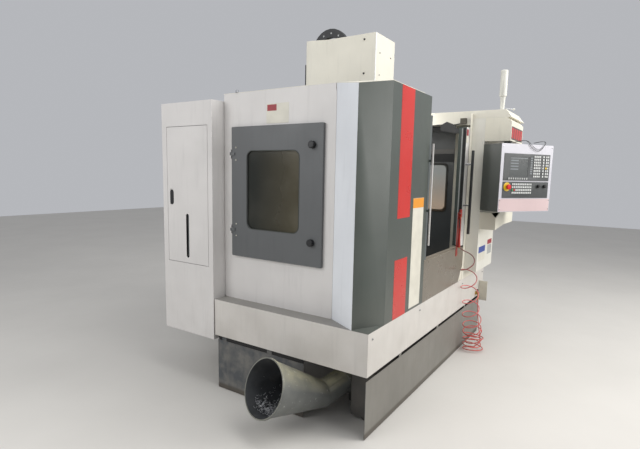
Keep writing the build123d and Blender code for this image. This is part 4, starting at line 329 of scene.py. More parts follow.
LOOK = {
    "front_grey": paint("front grey paint", srgb(74, 80, 75), 0.38),
    "facet_grey": paint("door grey paint", srgb(84, 90, 90), 0.4),
    "hatch_grey": paint("hatch grey paint", srgb(92, 94, 95), 0.45),
    "apron": paint("apron paint", srgb(112, 104, 92), 0.3, bump=0.05, bump_scale=600.0, mottle=0.9),
    "band": paint("band white paint", srgb(208, 204, 198), 0.4, dusty=0.5),
    "panel_white": paint("panel white paint", srgb(212, 209, 206), 0.45, dusty=0.2),
    "cover_white": paint("cover white paint", srgb(222, 218, 204), 0.45, dusty=0.2),
    "bevel": paint("bevel white paint", srgb(226, 229, 233), 0.5, bump=0.9, bump_scale=260.0, dusty=0.3),
    "base": shaded_skirt_paint("base dark paint", srgb(124, 121, 114)),
    "stripe": paint("red stripe", srgb(196, 42, 34), 0.3, bump=0.03, bump_scale=500.0, mottle=0.9,
                    dusty=0.2),
    "pendant": paint("pendant dark paint", srgb(78, 82, 78), 0.5, bump=0.4, bump_scale=600.0),
    "bracket": paint("pendant arm paint", srgb(226, 222, 206), 0.45),
    "pillar": paint("pillar paint", srgb(222, 220, 210), 0.45),
    "cast": casting("machine casting", srgb(112, 122, 124)),
    "steel": bare_metal("ground steel", srgb(178, 178, 180), 0.25, 600.0, (20.0, 1.0, 1.0)),
    "oiled": bare_metal("oiled steel", srgb(92, 92, 94), 0.4),
    "tank": casting("dark tank paint", srgb(46, 47, 49)),
    "brass": bare_metal("turned brass", srgb(196, 164, 96), 0.28),
    "chrome": bare_metal("bright fitting", srgb(205, 206, 208), 0.15),
    "handle": bare_metal("anodised handle", srgb(92, 94, 94), 0.4, 500.0, (30.0, 30.0, 1.0), 0.9),
    "motor": paint("motor black paint", srgb(34, 35, 38), 0.45, bump=0.3, bump_scale=700.0),
    "black": plastic("black plastic", srgb(26, 27, 29), 0.42),
    "seal": plastic("rubber seal", srgb(20, 20, 21), 0.6, bump=0.2, bump_scale=900.0),
    "pipe": dusty_highlit_pipe("grey pipe", srgb(104, 106, 103)),
    "pipe_inside": plastic("dark pipe inside", srgb(66, 68, 70), 0.55, bump=0.2, bump_scale=300.0,
                           mottle=0.6),
    "hose": aged_hose("hose red"),
    "gun": plastic("gun red", srgb(150, 40, 30), 0.35),
    "tower": plastic("tower white", srgb(214, 213, 204), 0.3),
    "unit": plastic("control unit plastic", srgb(62, 65, 66), 0.4),
    "key": plastic("light keys", srgb(196, 198, 196), 0.4),
    "key_pale": plastic("pale keys", srgb(168, 170, 168), 0.4),
    "key_grey": plastic("grey keys", srgb(112, 118, 122), 0.4),
    "key_green": plastic("green key", srgb(60, 140, 80), 0.4),
    "key_red": plastic("red key", srgb(190, 50, 45), 0.4),
    "face_plate": paint("pendant lower plate", srgb(204, 182, 182), 0.35, bump=0.05, bump_scale=400.0),
    "trim_grey": plastic("light grey trim", srgb(168, 170, 168), 0.45),
    "inner": paint("inner dark paint", srgb(66, 69, 70), 0.4),
    "face": paint("pendant face", srgb(192, 191, 198), 0.35, bump=0.05, bump_scale=400.0),
    "yellow": plastic("yellow ring", srgb(226, 190, 40), 0.35),
    "stop": plastic("stop red", srgb(206, 30, 28), 0.22, bump=0.03, bump_scale=400.0),
    "plate": plastic("bare plate", srgb(214, 210, 196), 0.4, bump=0.05, bump_scale=700.0),
    "orange": plastic("orange plate head", srgb(228, 150, 40), 0.4),
    "blue": plastic("blue plate", srgb(46, 72, 150), 0.4),
    "maroon": plastic("dark red plate", srgb(150, 34, 44), 0.4),
    "swarf": bare_metal("steel chips", srgb(205, 206, 208), 0.3, 900.0, (3.0, 3.0, 3.0), 0.7),
    "pane": tinted_pane("tinted window", srgb(150, 150, 118), 0.5),
    # The side window darkens towards its rear: painted shade of the dark inside seen through it.
    "side_pane": tinted_pane("side window", srgb(112, 106, 88), 0.15, srgb(58, 60, 56), "Y",
                             start=-0.44, end=-0.12),
    "right_pane": tinted_pane("right window", srgb(226, 200, 172), 0.3, srgb(190, 192, 186), "Z",
                              start=1.2, end=1.55, clear=0.9),
    "green_line": plastic("dark green seal", srgb(52, 56, 50), 0.5),
    # The band's upward top ledge takes a mid grey, darker than the band's white, with dust.
    "ledge": paint("ledge top grey", srgb(140, 138, 134), 0.5, mottle=0.85, dusty=0.6),
    "sill": paint("sill paint", srgb(132, 124, 112), 0.35, mottle=0.85),
    "edge_green": paint("door edge paint", srgb(66, 74, 70), 0.45),
    "strip_dark": paint("inner strip paint", srgb(85, 82, 78), 0.45),
    "dark_plate": plastic("dark plate", srgb(90, 80, 75), 0.4),
    "bolt": plastic("dark bolt", srgb(58, 58, 58), 0.5),
    "block": plastic("interlock plastic", srgb(80, 75, 64), 0.5),
    "screen": glowing("screen", srgb(58, 62, 62), 0.1),
}


# Building blocks

SAME_POINT = 1e-6   # metres
FLAT_ANGLE = math.radians(1.5)


def link(name, mesh):
    obj = bpy.data.objects.new(name, mesh)
    bpy.context.scene.collection.objects.link(obj)
    return obj


def soften(obj, width, angle=35.0):
    """Smooth shading with sharp edges kept, and a small bevel of the given width."""
    obj.data.polygons.foreach_set("use_smooth", [True] * len(obj.data.polygons))
    obj.data.set_sharp_from_angle(angle=math.radians(angle))
    if width > 0:
        bevel = obj.modifiers.new("edge", "BEVEL")
        bevel.width = width * MM
        bevel.segments = 2
        bevel.limit_method = "ANGLE"
        bevel.angle_limit = math.radians(angle)
        bevel.harden_normals = True
    return obj


def body_of(node):
    return frame["nodes"][node]["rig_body"]


def skin(node, look, edge):
    """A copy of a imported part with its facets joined, which takes the part's place."""
    source = frame["nodes"][node]
    obj = link(node + "_look", source.data.copy())
    shape = bmesh.new()
    shape.from_mesh(obj.data)
    bmesh.ops.remove_doubles(shape, verts=shape.verts, dist=SAME_POINT)
    bmesh.ops.dissolve_limit(shape, angle_limit=FLAT_ANGLE, verts=shape.verts, edges=shape.edges)
    shape.to_mesh(obj.data)
    shape.free()
    obj.data.materials.clear()
    obj.data.materials.append(LOOK[look])
    soften(obj, edge)
    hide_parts(node)
    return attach(obj, body_of(node))


def mesh_from(name, shape, look, body, edge=0.4, matrix=None):
    mesh = bpy.data.meshes.new(name)
    shape.to_mesh(mesh)
    shape.free()
    if matrix:
        mesh.transform(matrix)
    mesh.materials.append(LOOK[look])
    obj = soften(link(name, mesh), edge)
    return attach(obj, body)


def slab(name, xs, depths, zs, look, body=ROOT, edge=0.4):
    """A block between two x, two depths and two heights."""
    return chunk(name, at(xs[0], depths[0], zs[0]), at(xs[1], depths[1], zs[1]), look, body, edge)


def chunk(name, low, high, look, body, edge=0.4, matrix=None):
    shape = bmesh.new()
    bmesh.ops.create_cube(shape, size=1.0)
    bmesh.ops.scale(shape, vec=high - low, verts=shape.verts)
    bmesh.ops.translate(shape, vec=(low + high) / 2, verts=shape.verts)
    bmesh.ops.recalc_face_normals(shape, faces=shape.faces)
    return mesh_from(name, shape, look, body, edge, matrix)


def disc(name, centre, axis, radius, thick, look, body=ROOT, edge=0.4, sides=32, tip=None, matrix=None):
    """A round bar along an axis, which narrows to the tip's radius where one is given."""
    shape = bmesh.new()
    bmesh.ops.create_cone(shape, cap_ends=True, segments=sides, radius1=radius * MM,
                          radius2=(radius if tip is None else tip) * MM, depth=thick * MM)
    turn = Vector(UPWARD).rotation_difference(Vector(axis)).to_matrix().to_4x4()
    shape.transform(Matrix.Translation(centre) @ turn)
    return mesh_from(name, shape, look, body, edge, matrix)


def screw(name, centre, axis, radius, body, look, matrix=None):
    """A round screw head with a hexagon socket."""
    head_high = radius * 0.9
    disc(name, centre, axis, radius, head_high, look, body, edge=radius * 0.12, sides=24, tip=radius * 0.85,
         matrix=matrix)
    socket_at = centre + Vector(axis) * (head_high / 2 * MM)
    disc(name + "_socket", socket_at, axis, radius * 0.5, radius * 0.12, "seal", body, edge=0, sides=6,
         matrix=matrix)


def upright_ring(name, centre, radius, wire, look, body=ROOT):
    bpy.ops.mesh.primitive_torus_add(major_radius=radius * MM, minor_radius=wire * MM, major_segments=48,
                                     minor_segments=12)
    obj = bpy.context.object
    obj.name = name
    obj.data.transform(Matrix.Translation(centre))
    obj.matrix_world = Matrix.Identity(4)
    obj.data.materials.append(LOOK[look])
    soften(obj, 0)
    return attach(obj, body)


def cable(name, points, diameter, look, body=ROOT, matrix=None):
    """A round cable on one smooth curve. The points' radii hold its size, so that its box is true."""
    curve = bpy.data.curves.new(name, "CURVE")
    curve.dimensions = "3D"
    curve.bevel_depth = 1.0
    curve.bevel_resolution = 3
    spline = curve.splines.new("NURBS")
    spline.points.add(len(points) - 1)
    for point, place in zip(spline.points, points):
        where = (matrix or Matrix.Identity(4)) @ Vector(place)
        point.co = (*where, 1.0)
        point.radius = diameter / 2 * MM
    spline.order_u = 3
    spline.use_endpoint_u = True
    curve.materials.append(LOOK[look])
    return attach(link(name, curve), body)


# Camera, light and floor

# The photograph's viewpoint, in metres, degrees and millimetres of film
CAMERA_AT = (-3.3741, -2.1265, 1.500)
CAMERA_YAW = 56.5863
CAMERA_PITCH = 7.5803
CAMERA_ROLL = 1.1658
CAMERA_LENS = 26.06
CAMERA_SENSOR = 36.0
CAMERA_SHIFT = 0.0175
CAMERA_NEAR = 0.02
CAMERA_FAR = 60.0

# Place, target and size in metres, power in watts, colour
LIGHTS = {
    "ceiling": ((-0.5, -2.5, 5.2), (-0.2, -0.3, 0.9), 4.0, 160.0, (1.0, 1.0, 1.0)),
    "front_right": ((1.6, -6.0, 3.4), (0.2, -1.0, 1.2), 3.0, 230.0, (1.0, 0.98, 0.95)),
    "left_fill": ((-5.0, 1.5, 3.2), (-1.0, 0.0, 1.0), 3.0, 95.0, (1.0, 1.0, 1.0)),
    "inner_fill": ((0.3, -0.2, 1.98), (0.9, -0.5, 1.2), 0.5, 9.0, (1.0, 1.0, 1.0)),
}
SKY = (0.93, 0.95, 1.0, 1.0)
SKY_STRENGTH = 0.5
FLOOR_EDGE = 14.0   # metres


def make_camera():
    yaw, pitch, roll = (math.radians(v) for v in (CAMERA_YAW, CAMERA_PITCH, CAMERA_ROLL))
    forward = Vector((math.sin(yaw) * math.cos(pitch), math.cos(yaw) * math.cos(pitch), -math.sin(pitch)))
    level = Vector((math.cos(yaw), -math.sin(yaw), 0))
    upward = level.cross(forward)
    right = math.cos(roll) * level + math.sin(roll) * upward
    top = math.cos(roll) * upward - math.sin(roll) * level
    data = bpy.data.cameras.new("camera")
    data.lens = CAMERA_LENS
    data.sensor_width = CAMERA_SENSOR
    data.shift_y = CAMERA_SHIFT
    data.clip_start = CAMERA_NEAR
    data.clip_end = CAMERA_FAR
    camera = link("camera", data)
    matrix = Matrix((right, top, -forward)).transposed().to_4x4()
    camera.matrix_world = Matrix.Translation(CAMERA_AT) @ matrix
    bpy.context.scene.camera = camera


def make_light(name, place, target, size, power, colour):
    data = bpy.data.lights.new(name, "AREA")
    data.size = size
    data.energy = power
    data.color = colour
    light = link(name, data)
    light.location = place
    light.rotation_mode = "QUATERNION"
    light.rotation_quaternion = (Vector(target) - Vector(place)).to_track_quat("-Z", "Y")


def make_studio():
    world = bpy.data.worlds.new("studio")
    world.use_nodes = True
    background = world.node_tree.nodes["Background"]
    background.inputs["Color"].default_value = SKY
    background.inputs["Strength"].default_value = SKY_STRENGTH
    bpy.context.scene.world = world
    for name, settings in LIGHTS.items():
        make_light(name, *settings)
    surface = Surface("studio floor")
    surface.base(srgb(205, 202, 196), 0.96, 1.2)
    mesh = bpy.data.meshes.new("floor")
    corners = [(x * FLOOR_EDGE, y * FLOOR_EDGE, 0) for x, y in ((-1, -1), (1, -1), (1, 1), (-1, 1))]
    mesh.from_pydata(corners, [], [(0, 1, 2, 3)])
    mesh.materials.append(surface.finish(0.7, bump_scale=60.0))
    floor = link("floor", mesh)
    bpy.context.scene.view_settings.view_transform = "Standard"


# Hose

GUN_FOOT = (290.0, -18.0, 944.0)
COIL_TOP = (292.0, -82.0, 936.0)
COIL_FOOT = (625.0, -88.0, 166.0)
TAIL_ROUTE = [(723.6, -88.0, 8.0), (800.0, -100.0, 6.0), (872.0, -92.0, 24.0), (920.0, -66.0, 84.0),
              (944.0, -46.0, 170.0), (953.0, -32.0, 268.0), (955.0, -26.0, 371.5)]
COIL_START = math.radians(123.0)
COIL_TURNS = 6.5
HEAP_TURNS = 11
TURN_POINTS = 14
COIL_FIRST_POINT = 3
COIL_R = 58.0
COIL_WIDENS = 24.0
COIL_WOBBLE = 4.0
COIL_LEANS = 26.0
HEAP_R = 74.0
HEAP_WOBBLE = 14.0
HEAP_SHIFT = 8.0
HEAP_TILT = 9.0
HEAP_TOP = 152.0
HEAP_FOOT = 6.0
# How fast each wobble runs against the turns
COIL_WOBBLE_RATE = 0.43
HEAP_WOBBLE_RATE = 0.37
HEAP_SHIFT_RATE = 0.21
HEAP_TILT_RATE = 1.31


def hose_points():
    """A coil that hangs from the gun to the floor, a heap of turns there, and the rise to the coupler."""
    points = [at(*GUN_FOOT)]
    top, foot = at(*COIL_TOP), at(*COIL_FOOT)
    along = (foot - top).normalized()
    side = along.cross(Vector(REAR_SIDE)).normalized()
    behind = side.cross(along)
    count = round(COIL_TURNS * TURN_POINTS)
    turn = COIL_START
    for i in range(COIL_FIRST_POINT, count + 1):
        share = i / count
        turn = COIL_START - 2 * math.pi * COIL_TURNS * share
        reach = (COIL_R + COIL_WIDENS * share + COIL_WOBBLE * math.sin(turn * COIL_WOBBLE_RATE)) * MM
        reach *= min(1.0, 0.5 + 5 * share)   # narrower next to the gun
        centre = top.lerp(foot, 1 - (1 - share) ** 1.5) - Vector((COIL_LEANS * MM * share, 0, 0))
        points.append(centre + side * reach * math.cos(turn) + behind * reach * math.sin(turn))
    centre = Vector((foot.x, foot.y, 0.0))
    last = turn
    for i in range(1, HEAP_TURNS * TURN_POINTS + 1):
        share = i / (HEAP_TURNS * TURN_POINTS)
        turn = last * (1 - share) - 2 * math.pi * HEAP_TURNS * share
        tilt = HEAP_TILT * math.sin(turn * HEAP_TILT_RATE) * min(1.0, 6 * (1 - share))
        level = max(HEAP_TOP + (HEAP_FOOT - HEAP_TOP) * share + tilt, HOSE_DIAMETER / 2) * MM
        reach = (HEAP_R + HEAP_WOBBLE * math.sin(turn * HEAP_WOBBLE_RATE)) * MM
        shift = HEAP_SHIFT * MM * math.sin(turn * HEAP_SHIFT_RATE)
        place = Vector((reach * math.cos(turn) + shift, reach * math.sin(turn), level))
        points.append(centre + place)
    return points + [at(*p) for p in TAIL_ROUTE]


def make_hose():
    points = hose_points()
    hose = cable("hose", points, HOSE_DIAMETER, "hose")
    hose.data.splines[0].resolution_u = 4
    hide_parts("recoil_hose", "hose_heap", "hose_tail")


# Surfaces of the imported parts

PLAIN = {
    "base_casting": "cast", "levelling_feet": "oiled", "column_casting": "cast", "guide_rails": "steel",
    "servo_motors": "motor", "lower_enclosure": "band", "chip_spout": "pipe", "auger_trough": "tank",
    "auger": "oiled", "base_panels": "base", "coolant_tank": "tank", "front_left_cover": "front_grey",
    "front_right_cover": "cover_white", "left_corner_bevel": "bevel", "left_side_panel": "panel_white",
    "right_side_panel": "panel_white", "right_window_pane": "right_pane", "rear_wall": "panel_white",
    "roof_panels": "cover_white", "front_apron": "apron", "left_door": "facet_grey",
    "right_door": "edge_green",
    "left_door_pane": "pane", "right_door_pane": "pane", "left_door_handle": "panel_white",
    "right_door_handle": "handle", "side_window_panel": "hatch_grey", "side_window_pane": "side_pane",
    "lower_window_knob": "black", "upper_window_knob": "black", "service_cabinet": "panel_white",
    "service_door": "panel_white", "electric_cabinet": "panel_white", "electric_door": "panel_white",
    "saddle": "cast", "table": "steel", "x_screw": "steel", "y_screw": "steel", "z_screw": "steel",
    "head_casting": "cast", "spindle": "steel", "spindle_motor": "motor", "head_cover": "cover_white",
    "pendant_pillar": "pillar", "pendant_arm": "bracket", "pendant_bracket": "bracket",
    "pendant_box": "pendant", "control_face": "face", "control_unit": "unit", "emergency_stop": "stop",
    "feed_knob": "black", "rapid_knob": "black", "signal_tower": "tower", "air_gun": "gun",
    "gun_trigger": "black", "air_coupler": "brass",
}
PART_EDGE = 0.8
SMALL_EDGE = 0.3
SMALL_PARTS = {"control_unit", "emergency_stop", "feed_knob", "rapid_knob", "air_gun", "gun_trigger"}

SPOUT_ELBOW = at(-1094, 363, 150)
SPOUT_MOUTH = at(-1510, 480, 318)
SPOUT_R = 76.0
SPOUT_FLARE = 85.0

LEDGE_LOW = 630.0
LEFT_HANDLE_REAR = -18.0
RIGHT_HANDLE_REAR = -40.0
LEFT_HANDLE_EDGE_X = -417.0
HANDLE_SLIMMER = 0.5


def in_spout(face):
    """True for the faces that look at the axis of the pipe's mouth."""
    along = (SPOUT_MOUTH - SPOUT_ELBOW).normalized()
    arm = face.center - SPOUT_ELBOW
    out = arm - along * arm.dot(along)
    return arm.dot(along) > 0 and face.normal.dot(out) < -0.3 * out.length


def looks(direction):
    return lambda face: face.normal.dot(Vector(direction)) > 0.5


def rear_of(depth):
    return lambda face: face.center.y > at(0, depth + 0.5, 0).y


def on_ledge(face):
    return face.normal.z > 0.9 and face.center.z > LEDGE_LOW * MM


REPAINTED = {
    "right_side_panel": ("inner", looks(LEFT_SIDE)), "left_side_panel": ("inner", looks(RIGHT_SIDE)),
    "rear_wall": ("inner", looks(FRONT_SIDE)), "front_left_cover": ("inner", looks(REAR_SIDE)),
    "front_right_cover": ("inner", looks(REAR_SIDE)), "chip_spout": ("pipe_inside", in_spout),
    "lower_enclosure": ("ledge", on_ledge),
    "front_apron": ("sill", lambda face: face.normal.z > 0.9),
    "right_door": ("panel_white", looks(FRONT_SIDE)),
    "left_door_handle": ("edge_green", rear_of(LEFT_HANDLE_REAR)),
    "right_door_handle": ("chrome", rear_of(RIGHT_HANDLE_REAR)),
}


def dress_parts():
    """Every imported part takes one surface, and some take a second one on the faces that a test picks."""
    for node, look in PLAIN.items():
        obj = skin(node, look, SMALL_EDGE if node in SMALL_PARTS else PART_EDGE)
        if node in REPAINTED:
            second, chosen = REPAINTED[node]
            obj.data.materials.append(LOOK[second])
            for face in obj.data.polygons:
                face.material_index = int(chosen(face))


def slim_handle():
    """The left bar looks slimmer than its solid, and keeps its edge next to the cover."""
    handle = bpy.data.objects["left_door_handle_look"]
    edge, rear, _ = at(LEFT_HANDLE_EDGE_X, LEFT_HANDLE_REAR, 0)
    for vertex in handle.data.vertices:
        vertex.co.x = edge + (vertex.co.x - edge) * HANDLE_SLIMMER
        if vertex.co.y < rear:
            vertex.co.y = rear + (vertex.co.y - rear) * HANDLE_SLIMMER


CHAIN_FACE_X = -120.0
CHAIN_CENTRE = (983.0, 2483.0)   # depth and height of the bend
CHAIN_PIN_R = 127.0
CHAIN_PIN_ANGLES = (19, 52, 85, 118, 151)
PIN_HEAD = {"radius1": 7 * MM, "radius2": 6 * MM, "depth": 2 * MM}
PIN_STANDS = 0.8


def make_chain():
    source = frame["nodes"]["drag_chain"]
    chain = link("drag_chain_look", source.data.copy())
    chain.data.materials.clear()
    chain.data.materials.append(LOOK["black"])
    soften(chain, 0)
    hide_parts("drag_chain")
    pins = bmesh.new()
    turn = Matrix.Rotation(math.radians(90), 4, "Y")
    for degrees in CHAIN_PIN_ANGLES:
        angle = math.radians(degrees)
        across, rise = CHAIN_PIN_R * math.cos(angle), CHAIN_PIN_R * math.sin(angle)
        place = at(CHAIN_FACE_X - PIN_STANDS, CHAIN_CENTRE[0] - across, CHAIN_CENTRE[1] + rise)
        bmesh.ops.create_cone(pins, cap_ends=True, segments=16, **PIN_HEAD,
                              matrix=Matrix.Translation(place) @ turn)
    mesh = bpy.data.meshes.new("chain_pins")
    pins.to_mesh(mesh)
    pins.free()
    mesh.materials.append(LOOK["trim_grey"])
    for piece in (chain, soften(link("chain_pins", mesh), 0)):
        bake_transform(piece)


# Pendant trim, in the pendant's own millimetres: x along the face, y into it

PENDANT_BODY = "pendant_body"
IN_PENDANT = (Matrix.Translation(at(*PENDANT_PIVOT, 0.0))
              @ Matrix.Rotation(math.radians(-PENDANT_TURN), 4, "Z"))
UNIT_FACE = FACE_Y - 3.0
KEY_FACE = UNIT_FACE - 2.5
UNIT_LEFT = -204.0
UNIT_TOP = 1688.0
PANEL_HIGH = 1471.0
KEY = 15.0
KEY_GAP = 0.5
KEY_STANDS = 1.2
KEY_PITCH = 19.0
KEY_RISE = 22.0
KEY_MARGIN = 12.0
KEY_COLUMNS_X = (247, 228, 197, 159, 140, 121, 102)
KEY_ROWS = 8
YELLOW_KEY = (1, 4)
SOFT_KEYS = 9
SOFT_KEY_PITCH = 23.0
SOFT_KEY_TOP = 1503.0
SIDE_KEYS_X = (68, 90)
SIDE_KEY_TOP = 1661.0
SIDE_KEY_PITCH = 17.0
SIDE_KEY_HIGH = 11.0
PANEL_COLUMNS = 11
PANEL_ROWS = 4
PANEL_MARGIN = 92.0
PANEL_COLOURS = {(0, 2): "key_green", (1, 2): "key_red"}
SCREEN_LEFT = UNIT_LEFT + 58.0
SCREEN_RIGHT = UNIT_LEFT + 248.0
SCREEN_Z = (1514, 1662)
SCREEN_FACE = UNIT_FACE + 0.9
SCREEN_FIELDS = 4
SCREEN_FIELD_LOW = 1630
SCREEN_FIELD_HIGH = 9
SCREEN_FIELD_PITCH = 22
STOP_RING_R = 34.0
WIRE_DIAMETER = 3.2
WIRE_FACE = -187.0
WIRES = ((0, 1712), (9, 1724))   # shift along the face and lowest point


def local(x, y, z):
    return Vector((x * MM, y * MM, z * MM))


def on_pendant(name, xs, ys, zs, look, edge=0.3):
    low, high = local(xs[0], ys[0], zs[0]), local(xs[1], ys[1], zs[1])
    return chunk(name, low, high, look, PENDANT_BODY, edge, IN_PENDANT)


def key_cap(name, x, z, look):
    across, up = (x + KEY_GAP, x + KEY - KEY_GAP), (z - KEY + KEY_GAP, z - KEY_GAP)
    on_pendant(name, across, (KEY_FACE - KEY_STANDS, KEY_FACE), up, look, 0.5)


def make_keys():
    for column, x in enumerate(KEY_COLUMNS_X):
        for row in range(KEY_ROWS):
            look = "yellow" if (column, row) == YELLOW_KEY else "key"
            key_cap(f"key_{column}_{row}", x, UNIT_TOP - KEY_MARGIN - row * KEY_RISE, look)
    for column in range(SOFT_KEYS):
        key_cap(f"soft_key_{column}", UNIT_LEFT + 48 + column * SOFT_KEY_PITCH, SOFT_KEY_TOP, "key_pale")
    for row in range(KEY_ROWS):
        z = SIDE_KEY_TOP - row * SIDE_KEY_PITCH
        on_pendant(f"side_key_{row}", SIDE_KEYS_X, (UNIT_FACE - 1.5, UNIT_FACE), (z - SIDE_KEY_HIGH, z),
                   "key_grey", 0.4)
    for column in range(PANEL_COLUMNS):
        for row in range(PANEL_ROWS):
            x = UNIT_LEFT + PANEL_MARGIN + column * KEY_PITCH
            key_cap(f"panel_key_{column}_{row}", x, PANEL_HIGH - KEY_MARGIN - row * KEY_RISE,
                    PANEL_COLOURS.get((column, row), "key"))


def make_screen():
    left, right, face = SCREEN_LEFT, SCREEN_RIGHT, SCREEN_FACE
    on_pendant("screen_glass", (left + 1, right - 1), (face, face + 0.6), SCREEN_Z, "screen", 0.2)
    on_pendant("screen_line", (left + 8, right - 8), (face - 0.1, face), (1650, 1655), "key_grey", 0)
    for row in range(SCREEN_FIELDS):
        low = SCREEN_FIELD_LOW - row * SCREEN_FIELD_PITCH
        up = (low, low + SCREEN_FIELD_HIGH)
        on_pendant(f"screen_field_{row}", (left + 10, left + 90), (face - 0.1, face), up, "key_grey", 0)


def make_wires():
    """Two wires that come out of the box's top, hang over the face and go back in."""
    for i, (shift, low) in enumerate(WIRES):
        route = ((14, -60, 1786), (16, -140, 1797), (22, -186, 1786), (56, WIRE_FACE, low + 28),
                 (112, WIRE_FACE, low), (148, WIRE_FACE, low), (188, WIRE_FACE, low + 30),
                 (212, -186, 1786), (218, -140, 1797), (220, -60, 1786))
        points = [local(x + shift, y, z) for x, y, z in route]
        cable(f"pendant_wire_{i}", points, WIRE_DIAMETER, "black", PENDANT_BODY, IN_PENDANT)


def make_pendant_trim():
    make_keys()
    make_screen()
    ring = IN_PENDANT @ Matrix.Translation(local(UNIT_LEFT + 42, UNIT_FACE - 1.5, PANEL_HIGH - 40))
    disc("stop_ring", Vector(), FRONT_SIDE, STOP_RING_R, 3, "yellow", PENDANT_BODY, edge=0.5, sides=48,
         tip=STOP_RING_R - 2, matrix=ring)
    on_pendant("lower_plate", (-230, 304), (FACE_Y - 1.0, FACE_Y), (1240, 1338), "face_plate", 0.4)
    for i, x in enumerate((-222, 296)):
        for j, z in enumerate((1255, 1325, 1742)):
            place = IN_PENDANT @ Matrix.Translation(local(x, FACE_Y - 1.5, z))
            screw(f"face_screw_{i}{j}", Vector(), FRONT_SIDE, 4.0, PENDANT_BODY, "chrome", place)
    make_wires()


# Window trim

CORNER_STEPS = 8


def outline(across, up, radius):
    """The points of a rectangle with round corners."""
    points = []
    left, right = across[0] + radius, across[1] - radius
    low, high = up[0] + radius, up[1] - radius
    for a, b, start in ((right, high, 0), (left, high, 90), (left, low, 180), (right, low, 270)):
        for i in range(CORNER_STEPS + 1):
            angle = math.radians(start + 90 * i / CORNER_STEPS)
            points.append((a + radius * math.cos(angle), b + radius * math.sin(angle)))
    return points


def close_walls(shape, low, high):
    """Two end faces and the walls between their matching points."""
    shape.faces.new(low)
    shape.faces.new(high)
    for i in range(len(low)):
        j = (i + 1) % len(low)
        shape.faces.new((low[i], low[j], high[j], high[i]))
    bmesh.ops.recalc_face_normals(shape, faces=shape.faces)


def pad(name, place, spans, radius, thick, look, body):
    """A thin plate with round corners; place turns (across, up, out) into a point."""
    path = outline(*spans, radius)
    shape = bmesh.new()
    low, high = ([shape.verts.new(place(a, b, out)) for a, b in path] for out in (0.0, thick))
    close_walls(shape, low, high)
    return mesh_from(name, shape, look, body, 0.2)


def gasket(name, place, spans, width, thick, look, body):
    """A flat ring round a rounded window; place turns (across, up, out) into a point."""
    shape = bmesh.new()
    loops = []
    for grow in (0.0, width):
        for out in (0.0, thick):
            across, up = ((low - grow, high + grow) for low, high in spans)
            path = outline(across, up, WINDOW_CORNER_R + grow)
            loops.append([shape.verts.new(place(a, b, out)) for a, b in path])
    count = len(loops[0])
    for i in range(count):
        j = (i + 1) % count
        for first, second in ((1, 3), (3, 2), (2, 0), (0, 1)):
            shape.faces.new((loops[first][i], loops[first][j], loops[second][j], loops[second][i]))
    bmesh.ops.recalc_face_normals(shape, faces=shape.faces)
    return mesh_from(name, shape, look, body, 0.4)


SIDE_WINDOW = ((548, 963), (1138, 1637))
RIGHT_WINDOW = ((386, 757), (1179, 1609))
DOOR_WINDOW_HALF = 162.0
DOOR_WINDOW_Z = (1089, 1781)
DOOR_WINDOWS = ((-1, -620.0, "left_door_body"), (1, 650.0, "right_door_body"))
DOOR_FACE_DEPTH = 6.0
HATCH_SCREWS_Z = (1661, 1580, 1159, 1080)
INNER_DEPTHS = (310, 1150)


def make_window_trim():
    gasket("side_window_gasket", lambda d, z, out: at(HATCH_FACE_X - out, d, z), SIDE_WINDOW,
           5, 1.5, "green_line", "side_window")
    for i, z in enumerate(HATCH_SCREWS_Z):
        screw(f"hatch_screw_{i}", at(HATCH_FACE_X - 2, 1060, z), LEFT_SIDE, 5, "side_window", "plate")
    for side, x, body in DOOR_WINDOWS:
        spans = ((x - DOOR_WINDOW_HALF, x + DOOR_WINDOW_HALF), DOOR_WINDOW_Z)
        gasket(f"door_gasket_{side}", lambda x, z, out: at(x, DOOR_FACE_DEPTH - out, z), spans,
               8, 2.0, "seal", body)
    gasket("right_window_gasket", lambda d, z, out: at(SIDE_X + out, d, z), RIGHT_WINDOW,
           9, 2.5, "seal", ROOT)
    slab("inner_strip", (1080, 1087), INNER_DEPTHS, (1718, 1762), "strip_dark", edge=0.6)
    slab("inner_shade", (1085, 1087), INNER_DEPTHS, (1640, 1716), "seal", edge=0.4)


# Cabinet, cover and side trim

COVER_SIDE_SCREWS = ((646, 2510), (644, 2263))
COVER_FRONT_SCREWS = ((-94, 2415), (94, 2415), (-95, 2254))
LATCH = ((1577, 1615), (1266, 1370))
LATCH_R = 18.5
BAND_BOLTS_X = (-1150, -450, 520, 1150)


def make_side_trim():
    slab("side_plate", (-1091, -1090), (644, 818), (1806, 1926), "plate", edge=0.2)
    slab("side_plate_mark", (-1091.3, -1091), (738, 812), (1882, 1920), "maroon", edge=0.1)
    slab("side_clip", (-1096, -1084), (1060, 1078), (2012, 2030), "chrome", edge=0.6)
    for i, (depth, z) in enumerate(COVER_SIDE_SCREWS):
        screw(f"cover_screw_{i}", at(-167, depth, z), LEFT_SIDE, 8, "head_body", "bolt")
    for i, (x, z) in enumerate(COVER_FRONT_SCREWS):
        screw(f"cover_front_screw_{i}", at(x, 548.5, z), FRONT_SIDE, 5, "head_body", "bolt")
    slab("cover_edge", (-165.6, -155), (549.4, 550), (1700, 2549), "bevel", "head_body", 0.2)
    slab("skirt_shade", (-1168, -1165), (450, 1170), (345, 391), "seal", edge=0)
    slab("panel_seam", (-1090.4, -1084), (306, 312), (645, 1970), "panel_white", edge=0.4)
    # The gauge tube takes the screen's faint glow: painted light, as the tube is no lamp.
    slab("gauge_tube", (-1191, -1184), (1430, 1446), (905, 1200), "screen", edge=1.0)
    door_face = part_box("service_door")[0][0] / MM
    pad("door_latch", lambda d, z, out: at(door_face - out, d, z), LATCH, LATCH_R, 1.2, "black",
        "service_door_body")
    for i, x in enumerate(BAND_BOLTS_X):
        screw(f"band_front_bolt_{i}", at(x, -2, 600), FRONT_SIDE, 7, ROOT, "trim_grey")


